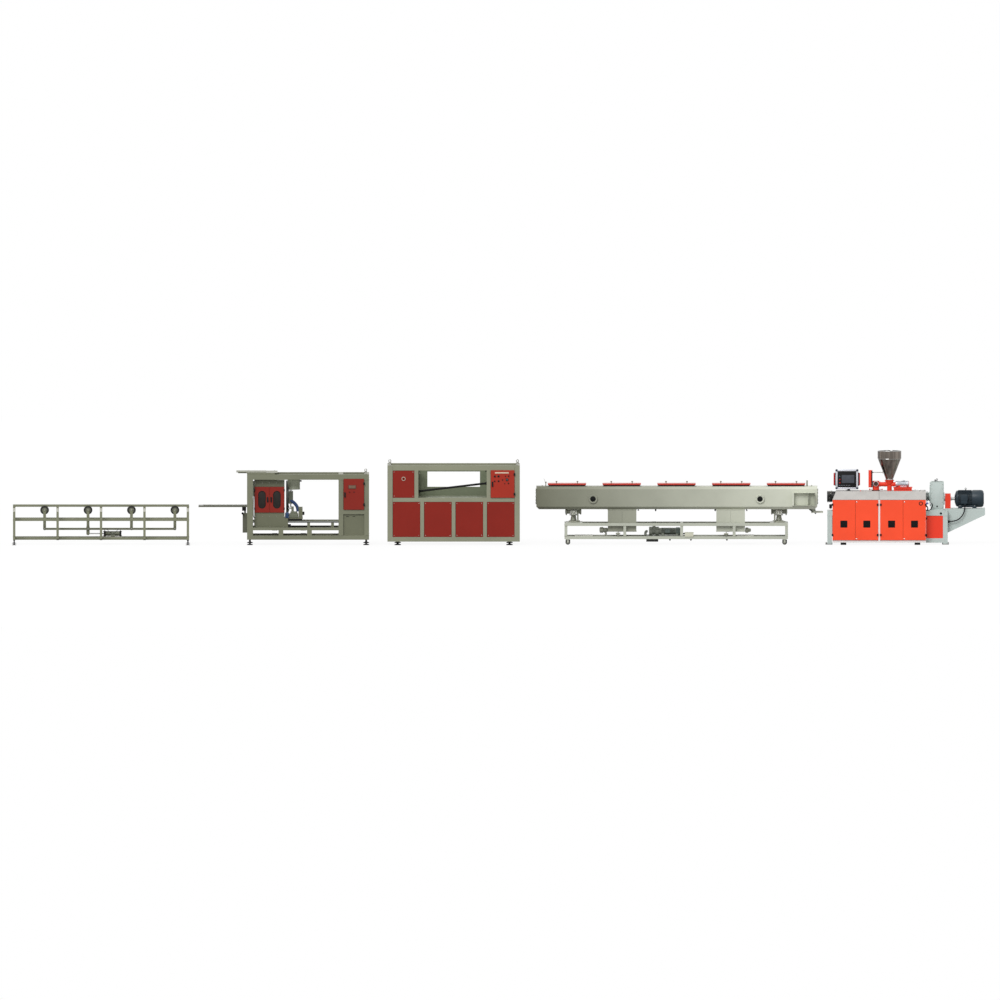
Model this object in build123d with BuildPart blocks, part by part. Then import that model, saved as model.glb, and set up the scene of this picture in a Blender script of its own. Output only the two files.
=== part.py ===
from build123d import *
import os
from math import cos, radians, tan

os.makedirs("parts", exist_ok=True)

# A plastic pipe extrusion line, in millimetres. The pipe travels from the extruder on the
# right to the stacker on the left, along X at Y = 0. The operator's side is -Y.
pipe_height = 1000
pin_clearance = 0.08
hinge_radius = 9
hinge_height = 50
seat_gap = 0.3
sheet = 4

# Levelling feet: a stud on a round pad
foot_pad_radius = 45
foot_pad_thickness = 10
foot_stud_radius = 12

# Stacker, the tipping rack
stacker_first_x = -10171
stacker_bay = 912
stacker_bays = 4
stacker_tube = 50
stacker_front_y = -555
stacker_half_depth = 255
stacker_front_top = 700
stacker_front_bottom = 110
stacker_short_post_bottom = 134
stacker_arm_rear_top = 745
stacker_rail_top = 820
stacker_beam_z = 520
stacker_bottom_rail_z = 125
stacker_rear_post_bottom = 70
stacker_wheel_share = 0.7
stacker_wheel_radius = 92
stacker_wheel_width = 50
stacker_wheel_axle_radius = 12
stacker_axle_z = 713
stacker_arm_width = 60
stacker_arm_thickness = 10
stacker_arm_gap = 64
stacker_shaft_radius = 15
stacker_hub_radius = 28
stacker_link_z = 320
stacker_link_pin_radius = 10
stacker_link_height = 44
stacker_link_thickness = 25
stacker_link_gap = 5
stacker_rod_z = 220
stacker_rod_radius = 12
stacker_roller_radius = 11
stacker_tilt_degrees = 56
stacker_rod_travel = 260
stacker_yoke_thickness = 16
stacker_yoke_wall = 12
stacker_yoke_play = 14
stacker_cylinder_head_x = -8290
stacker_cylinder_length = 370
stacker_cylinder_radius = 50
stacker_tray_thickness = 8

# Cutter, the travelling planetary saw
cutter_left = -5281
cutter_length = 2562
cutter_half_depth = 550
cutter_bottom = 113
cutter_top = 1487
cutter_post = 126
cutter_beam = 100
cutter_top_beam = 114
cutter_bottom_beam = 87
cutter_mid_beam_z = 311
cutter_mid_beam = 56
cutter_column_width = 641
cutter_column_sill_z = 650
cutter_column_sill = 91
cutter_rail_y = 300
cutter_rail_top = 500
cutter_rail_height = 40
cutter_rail_width = 60
cutter_bearer_width = 100
cutter_bearer_thickness = 24
cutter_foot_pad_radius = 60
cutter_foot_inset = 60
cutter_carriage_left = -5130
cutter_carriage_length = 636
cutter_carriage_half_depth = 425
cutter_carriage_bottom = 342
cutter_carriage_top = 1360
cutter_carriage_floor_z = 540
cutter_guard_bottom = 680
cutter_guard_top = 1220
cutter_guard_thickness = 18
cutter_window_width = 147
cutter_window_height = 356
cutter_pipe_hole_radius = 180
cutter_rotor_radius = 330
cutter_rotor_thickness = 50
cutter_rotor_offset = 60
saw_motor_length = 100
saw_motor_low = 860
saw_motor_high = 1120
saw_drum_offset = 134
saw_drum_y = -195
saw_drum_radius = 130
saw_drum_bottom = 1160
cutter_stroke = 640
clamp_left = -4200
clamp_right = -4115
clamp_top = 790
clamp_knob_z = 655
cutter_door_thickness = 20
cutter_tray_length = 1031
cutter_tray_half_width = 120
cutter_tray_top = 820
cutter_tray_height = 40
tray_post_width = 93
tray_post_bottom = 240
tray_post_top = 650

# Haul-off, the caterpillar's closed frame
hauloff_gap = 386
hauloff_length = 2780
hauloff_half_depth = 600
hauloff_bottom = 75
hauloff_top = 1674
hauloff_tube = 80
hauloff_post = 110
hauloff_sill = 97
hauloff_lower_panels = 4
hauloff_mid_z = 911
hauloff_mid_rail = 84
hauloff_side_bay = 457
hauloff_inner_post = 83
hauloff_control_bay = 504
hauloff_window_top = 1570
hauloff_deck_z = 995
hauloff_rear_sill_z = 1180
hauloff_rear_lintel_z = 1500
hauloff_rear_side = 190
hauloff_panel_thickness = 6
hauloff_bar_radius = 22
hauloff_bar_y = -300
hauloff_bar_low_z = 1121
hauloff_bar_high_z = 1290
hauloff_foot_radius = 67
hauloff_foot_inset = 216

# Vacuum calibration and cooling tank
tank_gap = 347
tank_length = 5900
tank_half_depth = 280
tank_bottom = 740
tank_top = 1218
tank_chamfer = 55
tank_wall = 6
tank_lids = 5
tank_first_lid_inset = 643
tank_last_lid_inset = 657
tank_lid_length = 800
tank_lid_depth = 400
tank_lid_thickness = 34
tank_gasket = 25
tank_hatch_margin = 40
tank_handle_offset = 220
tank_handle_y = -100
tank_handle_radius = 10
tank_handle_height = 40
tank_port_radius = 130
tank_sight_insets = (1190, 1203)
tank_sight_z = 957
tank_sight_flange_radius = 96
tank_sight_glass_radius = 59
tank_sight_flange = 20
tank_sight_recess = 8
tank_base_insets = (592, 616)
tank_base_half_depth = 380
tank_base_tube = 60
tank_base_top = 455
tank_base_bottom = 118
tank_base_post_shares = (0.26343, 0.5179, 0.75277)
tank_wheel_radius = 50
tank_wheel_width = 36
tank_wheel_axle_radius = 9
tank_wheel_inset = 70
tank_box_insets = (909, 904)
tank_box_length = 600
tank_box_bottom = 270
tank_box_front = -300
tank_box_rear = 150
tank_support_inset = 189
tank_support_disc_radius = 110
tank_support_disc = 16
tank_support_cone = 140
tank_support_bar_radius = 50
tank_support_bar_reach = 165
tank_support_bar_drop = 55
tank_pump_plate_reach = 726
tank_pump_y = -150
tank_pump_axis_z = 275
tank_pump_radius = 95
tank_pump_width = 60
tank_pump_motor_radius = 70
tank_pump_motor_length = 660
tank_pump_riser_top = 430
tank_recess_inset = 528
tank_recess_length = 518
tank_recess_bottom = 820
tank_recess_height = 270
tank_recess_depth = 120

# Extruder
extruder_gap = 320
cabinet_length = 1961
cabinet_half_depth = 480
cabinet_sill_z = 50
cabinet_sill_top = 100
cabinet_top = 947
cabinet_strip = 42
strip_proud = 10
door_thickness = 20
door_gap = 4
door_vent = 141
door_vent_z = 439
hood_top = 1121
hood_slant = 75
hood_half_top = 330
extruder_leg = 100
extruder_beam_y = 250
extruder_beam_top = 708
extruder_beam_height = 100
extruder_right_frame = 458
barrel_radius = 80
barrel_head_radius = 108
barrel_head_length = 182
gearbox_gap = 99
gearbox_length = 277
gearbox_half_depth = 200
gearbox_top = 1312
gearbox_foot = 20
coupling_guard_gap = 25
coupling_guard_length = 119
coupling_guard_half_depth = 140
coupling_guard_top = 1060
coupling_guard_sheet = 4
drive_axis_z = 955
motor_gap = 224
motor_length = 615
motor_radius = 181
motor_shaft_length = 60
motor_shaft_radius = 30
motor_foot_insets = (75, 375)
motor_foot_length = 90
motor_foot_half_depth = 160
terminal_box_inset = 136
terminal_box_length = 135
terminal_box_front = -265
terminal_box_bottom = 857
terminal_box_top = 1040
bracket_overhang = 26
bracket_top = 754
bracket_half_depth = 170
bracket_plate = 12
bracket_foot_z = 246
bracket_nose_z = 617
cable_y = -225
cable_radius = 12.5
cable_exit_inset = 220
cable_exit_z = 837
cable_end_z = 481
cabinet_foot_insets = (230, 178)
cradle_insets = (486, 575)
hopper_from_left = 1195
hopper_radius = 241
hopper_outlet_radius = 70
hopper_top = 1961
hopper_shoulder_z = 1790
hopper_outlet_z = 1346
hopper_wall = 5
feeder_axis_z = 1255
feeder_neck_radius = 50
feeder_bore_radius = 42
dosing_tube_radius = 46
vent_spacing = 285
vent_radius = 70
vent_top = 1323
vent_flange_radius = 88
vent_flange = 14
sight_port_z = 1271
sight_port_radius = 55
sight_port_reach = 90
drive_tray_start = 91
drive_tray_length = 380
drive_tray_half_depth = 110
drive_tray_top = 1196
drive_motor_z = 1262
drive_motor_radius = 60
drive_motor_length = 278
belt_guard_gap = 74
belt_guard_width = 81
belt_guard_bottom = 1193
belt_guard_top = 1551
tie_rod_z = 1505
tie_rod_gap = 135
control_inset = 22
control_width = 556
control_bottom = 1153
control_height = 416
control_depth = 160
control_neck_inset = 317
control_neck_radius = 30


def block(x0, x1, y0, y1, z0, z1, mode=Mode.ADD):
    """Add a block between two corners to the open part."""
    with Locations(((x0 + x1) / 2, (y0 + y1) / 2, (z0 + z1) / 2)):
        Box(x1 - x0, y1 - y0, z1 - z0, mode=mode)


def round_bar(centre, radius, length, axis, mode=Mode.ADD):
    """Add a round bar about a centre point, lying along the named axis."""
    turns = {"x": (0, 90, 0), "y": (90, 0, 0), "z": (0, 0, 0)}
    with Locations(centre):
        Cylinder(radius, length, rotation=turns[axis], mode=mode)


def span_bar(start, end, radius, mode=Mode.ADD):
    """Add a round bar between two points that differ along one axis only."""
    centre = tuple((a + b) / 2 for a, b in zip(start, end))
    lengths = [abs(b - a) for a, b in zip(start, end)]
    axis = "xyz"[lengths.index(max(lengths))]
    round_bar(centre, radius, max(lengths), axis, mode)


def levelling_foot(x, y, stud_top, pad_radius=foot_pad_radius):
    """Add a stud and its round pad, from the floor up to the frame."""
    span_bar((x, y, 0), (x, y, foot_pad_thickness), pad_radius)
    with Locations((x, y, foot_pad_thickness + foot_pad_thickness / 2)):
        Cone(pad_radius * 0.7, foot_stud_radius * 1.5, foot_pad_thickness)
    span_bar((x, y, foot_pad_thickness), (x, y, stud_top), foot_stud_radius)


# Stacker frame: five cross frames joined by long rails
stacker_half = stacker_tube / 2
stacker_frame_xs = [stacker_first_x + stacker_bay * index for index in range(stacker_bays + 1)]
stacker_last_x = stacker_frame_xs[-1]
stacker_wheel_xs = [x + stacker_wheel_share * stacker_bay for x in stacker_frame_xs[:-1]]
stacker_ends = (stacker_first_x, stacker_last_x)

with BuildPart() as stacker_frame:
    for x in stacker_frame_xs:
        post_bottom = stacker_front_bottom if x in stacker_ends else stacker_short_post_bottom
        low, high = x - stacker_half, x + stacker_half
        front, rear = stacker_front_y, stacker_half_depth
        block(low, high, front - stacker_half, front + stacker_half, post_bottom, stacker_front_top)
        block(low, high, -rear - stacker_half, -rear + stacker_half,
              stacker_bottom_rail_z - stacker_half, stacker_beam_z + stacker_half)
        block(low, high, rear - stacker_half, rear + stacker_half,
              stacker_rear_post_bottom, stacker_rail_top)
        for level in (stacker_beam_z, stacker_bottom_rail_z):
            block(low, high, -rear, rear, level - stacker_half, level + stacker_half)
        block(low, high, front, -rear, stacker_short_post_bottom,
              stacker_short_post_bottom + stacker_tube)
        with BuildSketch(Plane.YZ.offset(low)):
            with BuildLine():
                Polyline(
                    (front - stacker_half, stacker_front_top - stacker_tube),
                    (rear, stacker_arm_rear_top - stacker_tube),
                    (rear, stacker_arm_rear_top),
                    (front - stacker_half, stacker_front_top),
                    close=True,
                )
            make_face()
        extrude(amount=stacker_tube)
    for y in (-stacker_half_depth, stacker_half_depth):
        for level in (stacker_beam_z, stacker_bottom_rail_z):
            block(stacker_first_x, stacker_last_x, y - stacker_half, y + stacker_half,
                  level - stacker_half, level + stacker_half)
    block(stacker_first_x, stacker_last_x,
          stacker_half_depth - stacker_half, stacker_half_depth + stacker_half,
          stacker_rail_top - stacker_tube, stacker_rail_top)
    for x in stacker_wheel_xs:
        span_bar((x, -stacker_half_depth, stacker_beam_z), (x, stacker_half_depth, stacker_beam_z),
                 stacker_shaft_radius)
    for x in stacker_ends:
        levelling_foot(x, stacker_front_y, stacker_front_bottom + stacker_half)
        levelling_foot(x, stacker_half_depth, stacker_rear_post_bottom + stacker_half)
stacker_frame.part.label = "stacker_frame"
export_step(stacker_frame.part, "parts/stacker_frame.step")

# Tipping arms: two plates and a hub on each cross shaft, with a pin for the link bar.
# The second arm reaches lower and carries the roller that the piston rod's yoke drives.
arm_outer = stacker_arm_gap / 2 + stacker_arm_thickness
link_near = arm_outer + stacker_link_gap
link_far = link_near + stacker_link_thickness
for index, x in enumerate(stacker_wheel_xs, start=1):
    arm_foot_z = stacker_rod_z if index == 2 else stacker_link_z
    with BuildPart() as stacker_arm:
        for face_y in (-stacker_arm_gap / 2, arm_outer):
            with BuildSketch(Plane.XZ.offset(-face_y)):
                with Locations((x, (stacker_axle_z + arm_foot_z) / 2)):
                    SlotCenterToCenter(stacker_axle_z - arm_foot_z, stacker_arm_width, rotation=90)
            extrude(amount=stacker_arm_thickness)
        round_bar((x, 0, stacker_beam_z), stacker_hub_radius, 2 * arm_outer, "y")
        round_bar((x, 0, stacker_beam_z), stacker_shaft_radius + pin_clearance,
                  2 * arm_outer, "y", Mode.SUBTRACT)
        round_bar((x, 0, stacker_axle_z), stacker_wheel_axle_radius, 2 * arm_outer, "y")
        span_bar((x, -stacker_arm_gap / 2, stacker_link_z), (x, -link_far - 8, stacker_link_z),
                 stacker_link_pin_radius)
        if index == 2:
            round_bar((x, 0, stacker_rod_z), stacker_roller_radius, 2 * arm_outer, "y")
    stacker_arm.part.label = f"stacker_arm_{index}"
    export_step(stacker_arm.part, f"parts/{stacker_arm.part.label}.step")

# Support wheels: a rubber tyre on a dished hub, running on the arm's axle
for index, x in enumerate(stacker_wheel_xs, start=1):
    with BuildPart() as stacker_wheel:
        round_bar((x, 0, stacker_axle_z), stacker_wheel_radius, stacker_wheel_width, "y")
        round_bar((x, 0, stacker_axle_z), stacker_wheel_axle_radius + pin_clearance,
                  stacker_wheel_width, "y", Mode.SUBTRACT)
    stacker_wheel.part.label = f"stacker_wheel_{index}"
    export_step(stacker_wheel.part, f"parts/{stacker_wheel.part.label}.step")

# Link bar: joins the four arms so that they tip together
with BuildPart() as stacker_link_bar:
    block(stacker_wheel_xs[0] - stacker_link_height / 2, stacker_wheel_xs[-1] + stacker_link_height / 2,
          -link_far, -link_near,
          stacker_link_z - stacker_link_height / 2, stacker_link_z + stacker_link_height / 2)
    for x in stacker_wheel_xs:
        span_bar((x, -link_far, stacker_link_z), (x, -link_near, stacker_link_z),
                 stacker_link_pin_radius + pin_clearance, Mode.SUBTRACT)
stacker_link_bar.part.label = "stacker_link_bar"
export_step(stacker_link_bar.part, "parts/stacker_link_bar.step")

# Air cylinder on its tray, bored for the rod
cylinder_end_x = stacker_cylinder_head_x + stacker_cylinder_length
cylinder_tray_z = stacker_bottom_rail_z + stacker_half
tray_half = stacker_half_depth + stacker_half
with BuildPart() as stacker_cylinder:
    span_bar((stacker_cylinder_head_x, 0, stacker_rod_z), (cylinder_end_x, 0, stacker_rod_z),
             stacker_cylinder_radius)
    for x in (stacker_cylinder_head_x, cylinder_end_x - 40):
        block(x, x + 40, -stacker_cylinder_radius, stacker_cylinder_radius,
              cylinder_tray_z, stacker_rod_z)
    block(stacker_cylinder_head_x - 30, cylinder_end_x + 20, -tray_half, tray_half,
          cylinder_tray_z, cylinder_tray_z + stacker_tray_thickness)
    span_bar((stacker_cylinder_head_x, 0, stacker_rod_z), (cylinder_end_x - 30, 0, stacker_rod_z),
             stacker_rod_radius + pin_clearance, Mode.SUBTRACT)
stacker_cylinder.part.label = "stacker_cylinder"
export_step(stacker_cylinder.part, "parts/stacker_cylinder.step")

# Piston rod with an upright slotted yoke around the second arm's roller
arm_reach = stacker_beam_z - stacker_rod_z
tilt = radians(stacker_tilt_degrees)
roller_rise = arm_reach * (1 - cos(tilt))
yoke_x = stacker_wheel_xs[1]
yoke_slot_half = stacker_roller_radius + stacker_yoke_play
with BuildPart() as stacker_piston_rod:
    with BuildSketch(Plane.XZ.offset(-stacker_yoke_thickness / 2)):
        with Locations((yoke_x, stacker_rod_z + roller_rise / 2)):
            SlotCenterToCenter(roller_rise, 2 * (yoke_slot_half + stacker_yoke_wall), rotation=90)
            SlotCenterToCenter(roller_rise, 2 * yoke_slot_half, rotation=90, mode=Mode.SUBTRACT)
    extrude(amount=stacker_yoke_thickness)
    span_bar((yoke_x + yoke_slot_half + stacker_yoke_wall / 2, 0, stacker_rod_z),
             (stacker_cylinder_head_x + 40, 0, stacker_rod_z), stacker_rod_radius)
stacker_piston_rod.part.label = "stacker_piston_rod"
export_step(stacker_piston_rod.part, "parts/stacker_piston_rod.step")
print("rod travel per radian of tilt", round(stacker_rod_travel / tilt, 3))

# Cutter frame: posts, beams, the column for the cabinet, and the carriage rails
cutter_right = cutter_left + cutter_length
cutter_column_left = cutter_right - cutter_column_width
cutter_bay_left = cutter_left + cutter_post
cutter_front = cutter_half_depth - cutter_beam
cutter_strut_xs = [cutter_bay_left + (cutter_column_left - cutter_bay_left) * share
                   for share in (0.326, 0.66)]
cutter_bearer_xs = [cutter_bay_left + (cutter_column_left - cutter_bay_left) * share
                    for share in (0.06, 0.36, 0.65, 0.93)]
with BuildPart() as cutter_frame:
    for side in (-1, 1):
        near, far = sorted((side * cutter_front, side * cutter_half_depth))
        block(cutter_left, cutter_bay_left, near, far, cutter_bottom, cutter_top)
        block(cutter_column_left, cutter_column_left + cutter_beam, near, far,
              cutter_bottom, cutter_top)
        block(cutter_right - cutter_beam, cutter_right, near, far, cutter_bottom, cutter_top)
        block(cutter_left, cutter_right, near, far, cutter_top - cutter_top_beam, cutter_top)
        block(cutter_left, cutter_right, near, far, cutter_bottom, cutter_bottom + cutter_bottom_beam)
        block(cutter_left, cutter_column_left, near, far,
              cutter_mid_beam_z, cutter_mid_beam_z + cutter_mid_beam)
        block(cutter_column_left, cutter_right, near, far,
              cutter_column_sill_z, cutter_column_sill_z + cutter_column_sill)
        for x in cutter_strut_xs:
            block(x - cutter_beam / 2, x + cutter_beam / 2, near, far, cutter_bottom, cutter_mid_beam_z)
        rail_y = side * cutter_rail_y
        block(cutter_bay_left - cutter_post, cutter_column_left + cutter_beam,
              rail_y - cutter_rail_width / 2, rail_y + cutter_rail_width / 2,
              cutter_rail_top - cutter_rail_height, cutter_rail_top)
        for x in cutter_bearer_xs:
            block(x - cutter_rail_width / 2, x + cutter_rail_width / 2,
                  rail_y - cutter_rail_width / 2, rail_y + cutter_rail_width / 2,
                  cutter_mid_beam_z, cutter_rail_top)
    for x in (cutter_left, cutter_column_left, cutter_right - cutter_beam):
        for bottom, top in ((cutter_bottom, cutter_bottom + cutter_bottom_beam),
                            (cutter_top - cutter_top_beam, cutter_top)):
            block(x, x + cutter_beam, -cutter_half_depth, cutter_half_depth, bottom, top)
    for x in (cutter_left, cutter_column_left):
        block(x, x + cutter_beam, -cutter_half_depth, cutter_half_depth,
              cutter_rail_top - cutter_rail_height - cutter_beam, cutter_rail_top - cutter_rail_height)
    for x in cutter_bearer_xs:
        block(x - cutter_bearer_width / 2, x + cutter_bearer_width / 2, -cutter_front, cutter_front,
              cutter_mid_beam_z, cutter_mid_beam_z + cutter_bearer_thickness)
    for x in (cutter_left + cutter_foot_inset, cutter_right - cutter_foot_inset):
        for y in (-cutter_half_depth + cutter_foot_inset, cutter_half_depth - cutter_foot_inset):
            levelling_foot(x, y, cutter_bottom + cutter_bottom_beam / 2, cutter_foot_pad_radius)
cutter_frame.part.label = "cutter_frame"
export_step(cutter_frame.part, "parts/cutter_frame.step")

# Electrical cabinet in the cutter's column, open at the front behind its door
cabinet_inner_left = cutter_column_left + cutter_beam
cabinet_inner_right = cutter_right - cutter_beam
cutter_box_bottom = cutter_column_sill_z + cutter_column_sill
cutter_box_top = cutter_top - cutter_top_beam
cutter_box_front = -cutter_half_depth + 4
with BuildPart() as cutter_cabinet:
    block(cabinet_inner_left, cabinet_inner_right, cutter_box_front, -200,
          cutter_box_bottom, cutter_box_top)
    block(cabinet_inner_left + sheet, cabinet_inner_right - sheet, cutter_box_front, -200 - sheet,
          cutter_box_bottom + sheet, cutter_box_top - sheet, Mode.SUBTRACT)
    for side in (-1, 1):
        near, far = sorted((side * (cutter_half_depth - 30), side * (cutter_half_depth - 30 - sheet)))
        block(cabinet_inner_left, cabinet_inner_right, near, far,
              cutter_bottom + cutter_bottom_beam, cutter_column_sill_z)
cutter_cabinet.part.label = "cutter_cabinet"
export_step(cutter_cabinet.part, "parts/cutter_cabinet.step")

# Cabinet door, hinged at its right edge
cutter_door_back = -cutter_half_depth - seat_gap
with BuildPart() as cutter_cabinet_door:
    block(cabinet_inner_left + 6, cabinet_inner_right - 6,
          cutter_door_back - cutter_door_thickness, cutter_door_back,
          cutter_box_bottom + 4, cutter_box_top + 20)
    with BuildSketch(Plane.XZ.offset(-cutter_door_back + cutter_door_thickness)):
        with Locations((cabinet_inner_left + 35, (cutter_box_bottom + cutter_box_top) / 2)):
            SlotOverall(95, 22, rotation=90)
    extrude(amount=14)
    for z in (cutter_box_bottom + 110, cutter_box_top - 80):
        round_bar((cabinet_inner_right - 6, cutter_door_back - cutter_door_thickness, z),
                  hinge_radius, hinge_height, "z")
cutter_cabinet_door.part.label = "cutter_cabinet_door"
export_step(cutter_cabinet_door.part, "parts/cutter_cabinet_door.step")

# Outfeed tray on its post, cantilevered from the left end of the frame
tray_right = cutter_left + 12
tray_left = tray_right - cutter_tray_length
with BuildPart() as cutter_outfeed_tray:
    with BuildSketch(Plane.YZ.offset(tray_left)):
        with Locations((0, cutter_tray_top - cutter_tray_height / 2)):
            Rectangle(2 * cutter_tray_half_width, cutter_tray_height)
        with Locations((0, cutter_tray_top - cutter_tray_height / 2 + sheet)):
            Rectangle(2 * (cutter_tray_half_width - sheet), cutter_tray_height, mode=Mode.SUBTRACT)
    extrude(amount=cutter_tray_length)
    block(tray_left - 1, tray_left + 100, -cutter_tray_half_width, cutter_tray_half_width,
          cutter_tray_top - 14, cutter_tray_top, Mode.SUBTRACT)
    block(cutter_left - tray_post_width, cutter_left, -60, 60, tray_post_bottom, tray_post_top)
    block(cutter_left - 60, cutter_left - 25, -40, 40, tray_post_top, cutter_tray_top - cutter_tray_height)
cutter_outfeed_tray.part.label = "cutter_outfeed_tray"
export_step(cutter_outfeed_tray.part, "parts/cutter_outfeed_tray.step")

# Top plates over the left end of the frame
with BuildPart() as cutter_top_plate:
    block(-5506, -4880, -350, 350, cutter_top + 33, cutter_top + 45)
    block(-5470, -5300, -300, 300, cutter_top + 13, cutter_top + 33)
    for y in (-500, 500):
        block(-5270, -4700, y - 25, y + 25, cutter_top, cutter_top + 21)
    block(-5300, -4640, -525, 525, cutter_top + 21, cutter_top + 33)
cutter_top_plate.part.label = "cutter_top_plate"
export_step(cutter_top_plate.part, "parts/cutter_top_plate.step")

# Saw carriage: a sheet housing on slide blocks, open at the front behind its guard doors
carriage_right = cutter_carriage_left + cutter_carriage_length
guard_back = -cutter_carriage_half_depth
guard_left = cutter_carriage_left + 8
guard_right = carriage_right - 6
with BuildPart() as cutter_carriage:
    block(cutter_carriage_left, carriage_right, -cutter_carriage_half_depth, cutter_carriage_half_depth,
          cutter_carriage_floor_z, cutter_carriage_top)
    block(cutter_carriage_left + sheet, carriage_right - sheet,
          -cutter_carriage_half_depth + sheet, cutter_carriage_half_depth - sheet,
          cutter_carriage_floor_z + 20, cutter_carriage_top - sheet, Mode.SUBTRACT)
    block(guard_left + 25, guard_right - 25, -cutter_carriage_half_depth - 1,
          -cutter_carriage_half_depth + sheet + 1,
          cutter_guard_bottom + 25, cutter_guard_top - 25, Mode.SUBTRACT)
    span_bar((cutter_carriage_left - 1, 0, pipe_height), (carriage_right + 1, 0, pipe_height),
             cutter_pipe_hole_radius, Mode.SUBTRACT)
    for side in (-1, 1):
        near, far = sorted((side * cutter_carriage_half_depth, side * (cutter_carriage_half_depth - sheet)))
        block(cutter_carriage_left, carriage_right + 74, near, far,
              cutter_carriage_bottom, cutter_carriage_floor_z)
        block(carriage_right, carriage_right + 74, near, far,
              cutter_carriage_floor_z, cutter_carriage_floor_z + 20)
        for x in (cutter_carriage_left + 90, carriage_right - 90):
            block(x - 60, x + 60, side * cutter_rail_y - 45, side * cutter_rail_y + 45,
                  cutter_rail_top + seat_gap, cutter_carriage_floor_z)
    block(carriage_right, clamp_right + 5, -360, 360,
          cutter_carriage_floor_z, cutter_carriage_floor_z + 20)
    block(clamp_left, clamp_right, -340, -120, cutter_carriage_floor_z + 20, clamp_top)
    span_bar((clamp_right, -230, clamp_knob_z), (clamp_right + 40, -230, clamp_knob_z), 32)
cutter_carriage.part.label = "cutter_carriage"
export_step(cutter_carriage.part, "parts/cutter_carriage.step")

# Guard doors: a sheet with an oval window, hinged at the outer edges
guard_middle = (guard_left + guard_right) / 2
guard_z = (cutter_guard_bottom + cutter_guard_top) / 2
guard_spans = (("left", guard_left, guard_middle - 2), ("right", guard_middle + 2, guard_right))
for name, low, high in guard_spans:
    handle_x = high - 35 if name == "left" else low + 35
    with BuildPart() as cutter_guard_door:
        block(low, high, guard_back - seat_gap - cutter_guard_thickness, guard_back - seat_gap,
              cutter_guard_bottom, cutter_guard_top)
        with BuildSketch(Plane.XZ.offset(-guard_back + seat_gap + cutter_guard_thickness)):
            with Locations(((low + high) / 2, guard_z)):
                SlotOverall(cutter_window_height, cutter_window_width, rotation=90)
        extrude(amount=-cutter_guard_thickness + 5, mode=Mode.SUBTRACT)
        with BuildSketch(Plane.XZ.offset(-guard_back + seat_gap + cutter_guard_thickness)):
            with Locations((handle_x, guard_z)):
                SlotOverall(90, 20, rotation=90)
        extrude(amount=14)
        for z in (cutter_guard_bottom + 80, cutter_guard_top - 70):
            round_bar((low if name == "left" else high, guard_back - seat_gap - cutter_guard_thickness, z),
                      hinge_radius, hinge_height, "z")
    cutter_guard_door.part.label = f"cutter_guard_door_{name}"
    export_step(cutter_guard_door.part, f"parts/{cutter_guard_door.part.label}.step")

# Planetary saw head: the rotor ring on a pedestal, with its dust drum above
rotor_x = carriage_right + cutter_rotor_offset
rotor_half = cutter_rotor_thickness / 2
drum_x = rotor_x + saw_drum_offset
with BuildPart() as cutter_saw_head:
    round_bar((rotor_x, 0, pipe_height), cutter_rotor_radius, cutter_rotor_thickness, "x")
    block(rotor_x - rotor_half, rotor_x + rotor_half, -200, 200, cutter_carriage_floor_z + 20, pipe_height)
    block(rotor_x + 20, rotor_x + 20 + saw_motor_length, -300, -190, saw_motor_low, saw_motor_high)
    span_bar((drum_x, saw_drum_y, saw_drum_bottom), (drum_x, saw_drum_y, cutter_carriage_top),
             saw_drum_radius)
    span_bar((rotor_x - rotor_half - 1, 0, pipe_height), (rotor_x + rotor_half + 1, 0, pipe_height),
             cutter_pipe_hole_radius, Mode.SUBTRACT)
cutter_saw_head.part.label = "cutter_saw_head"
export_step(cutter_saw_head.part, "parts/cutter_saw_head.step")

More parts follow.
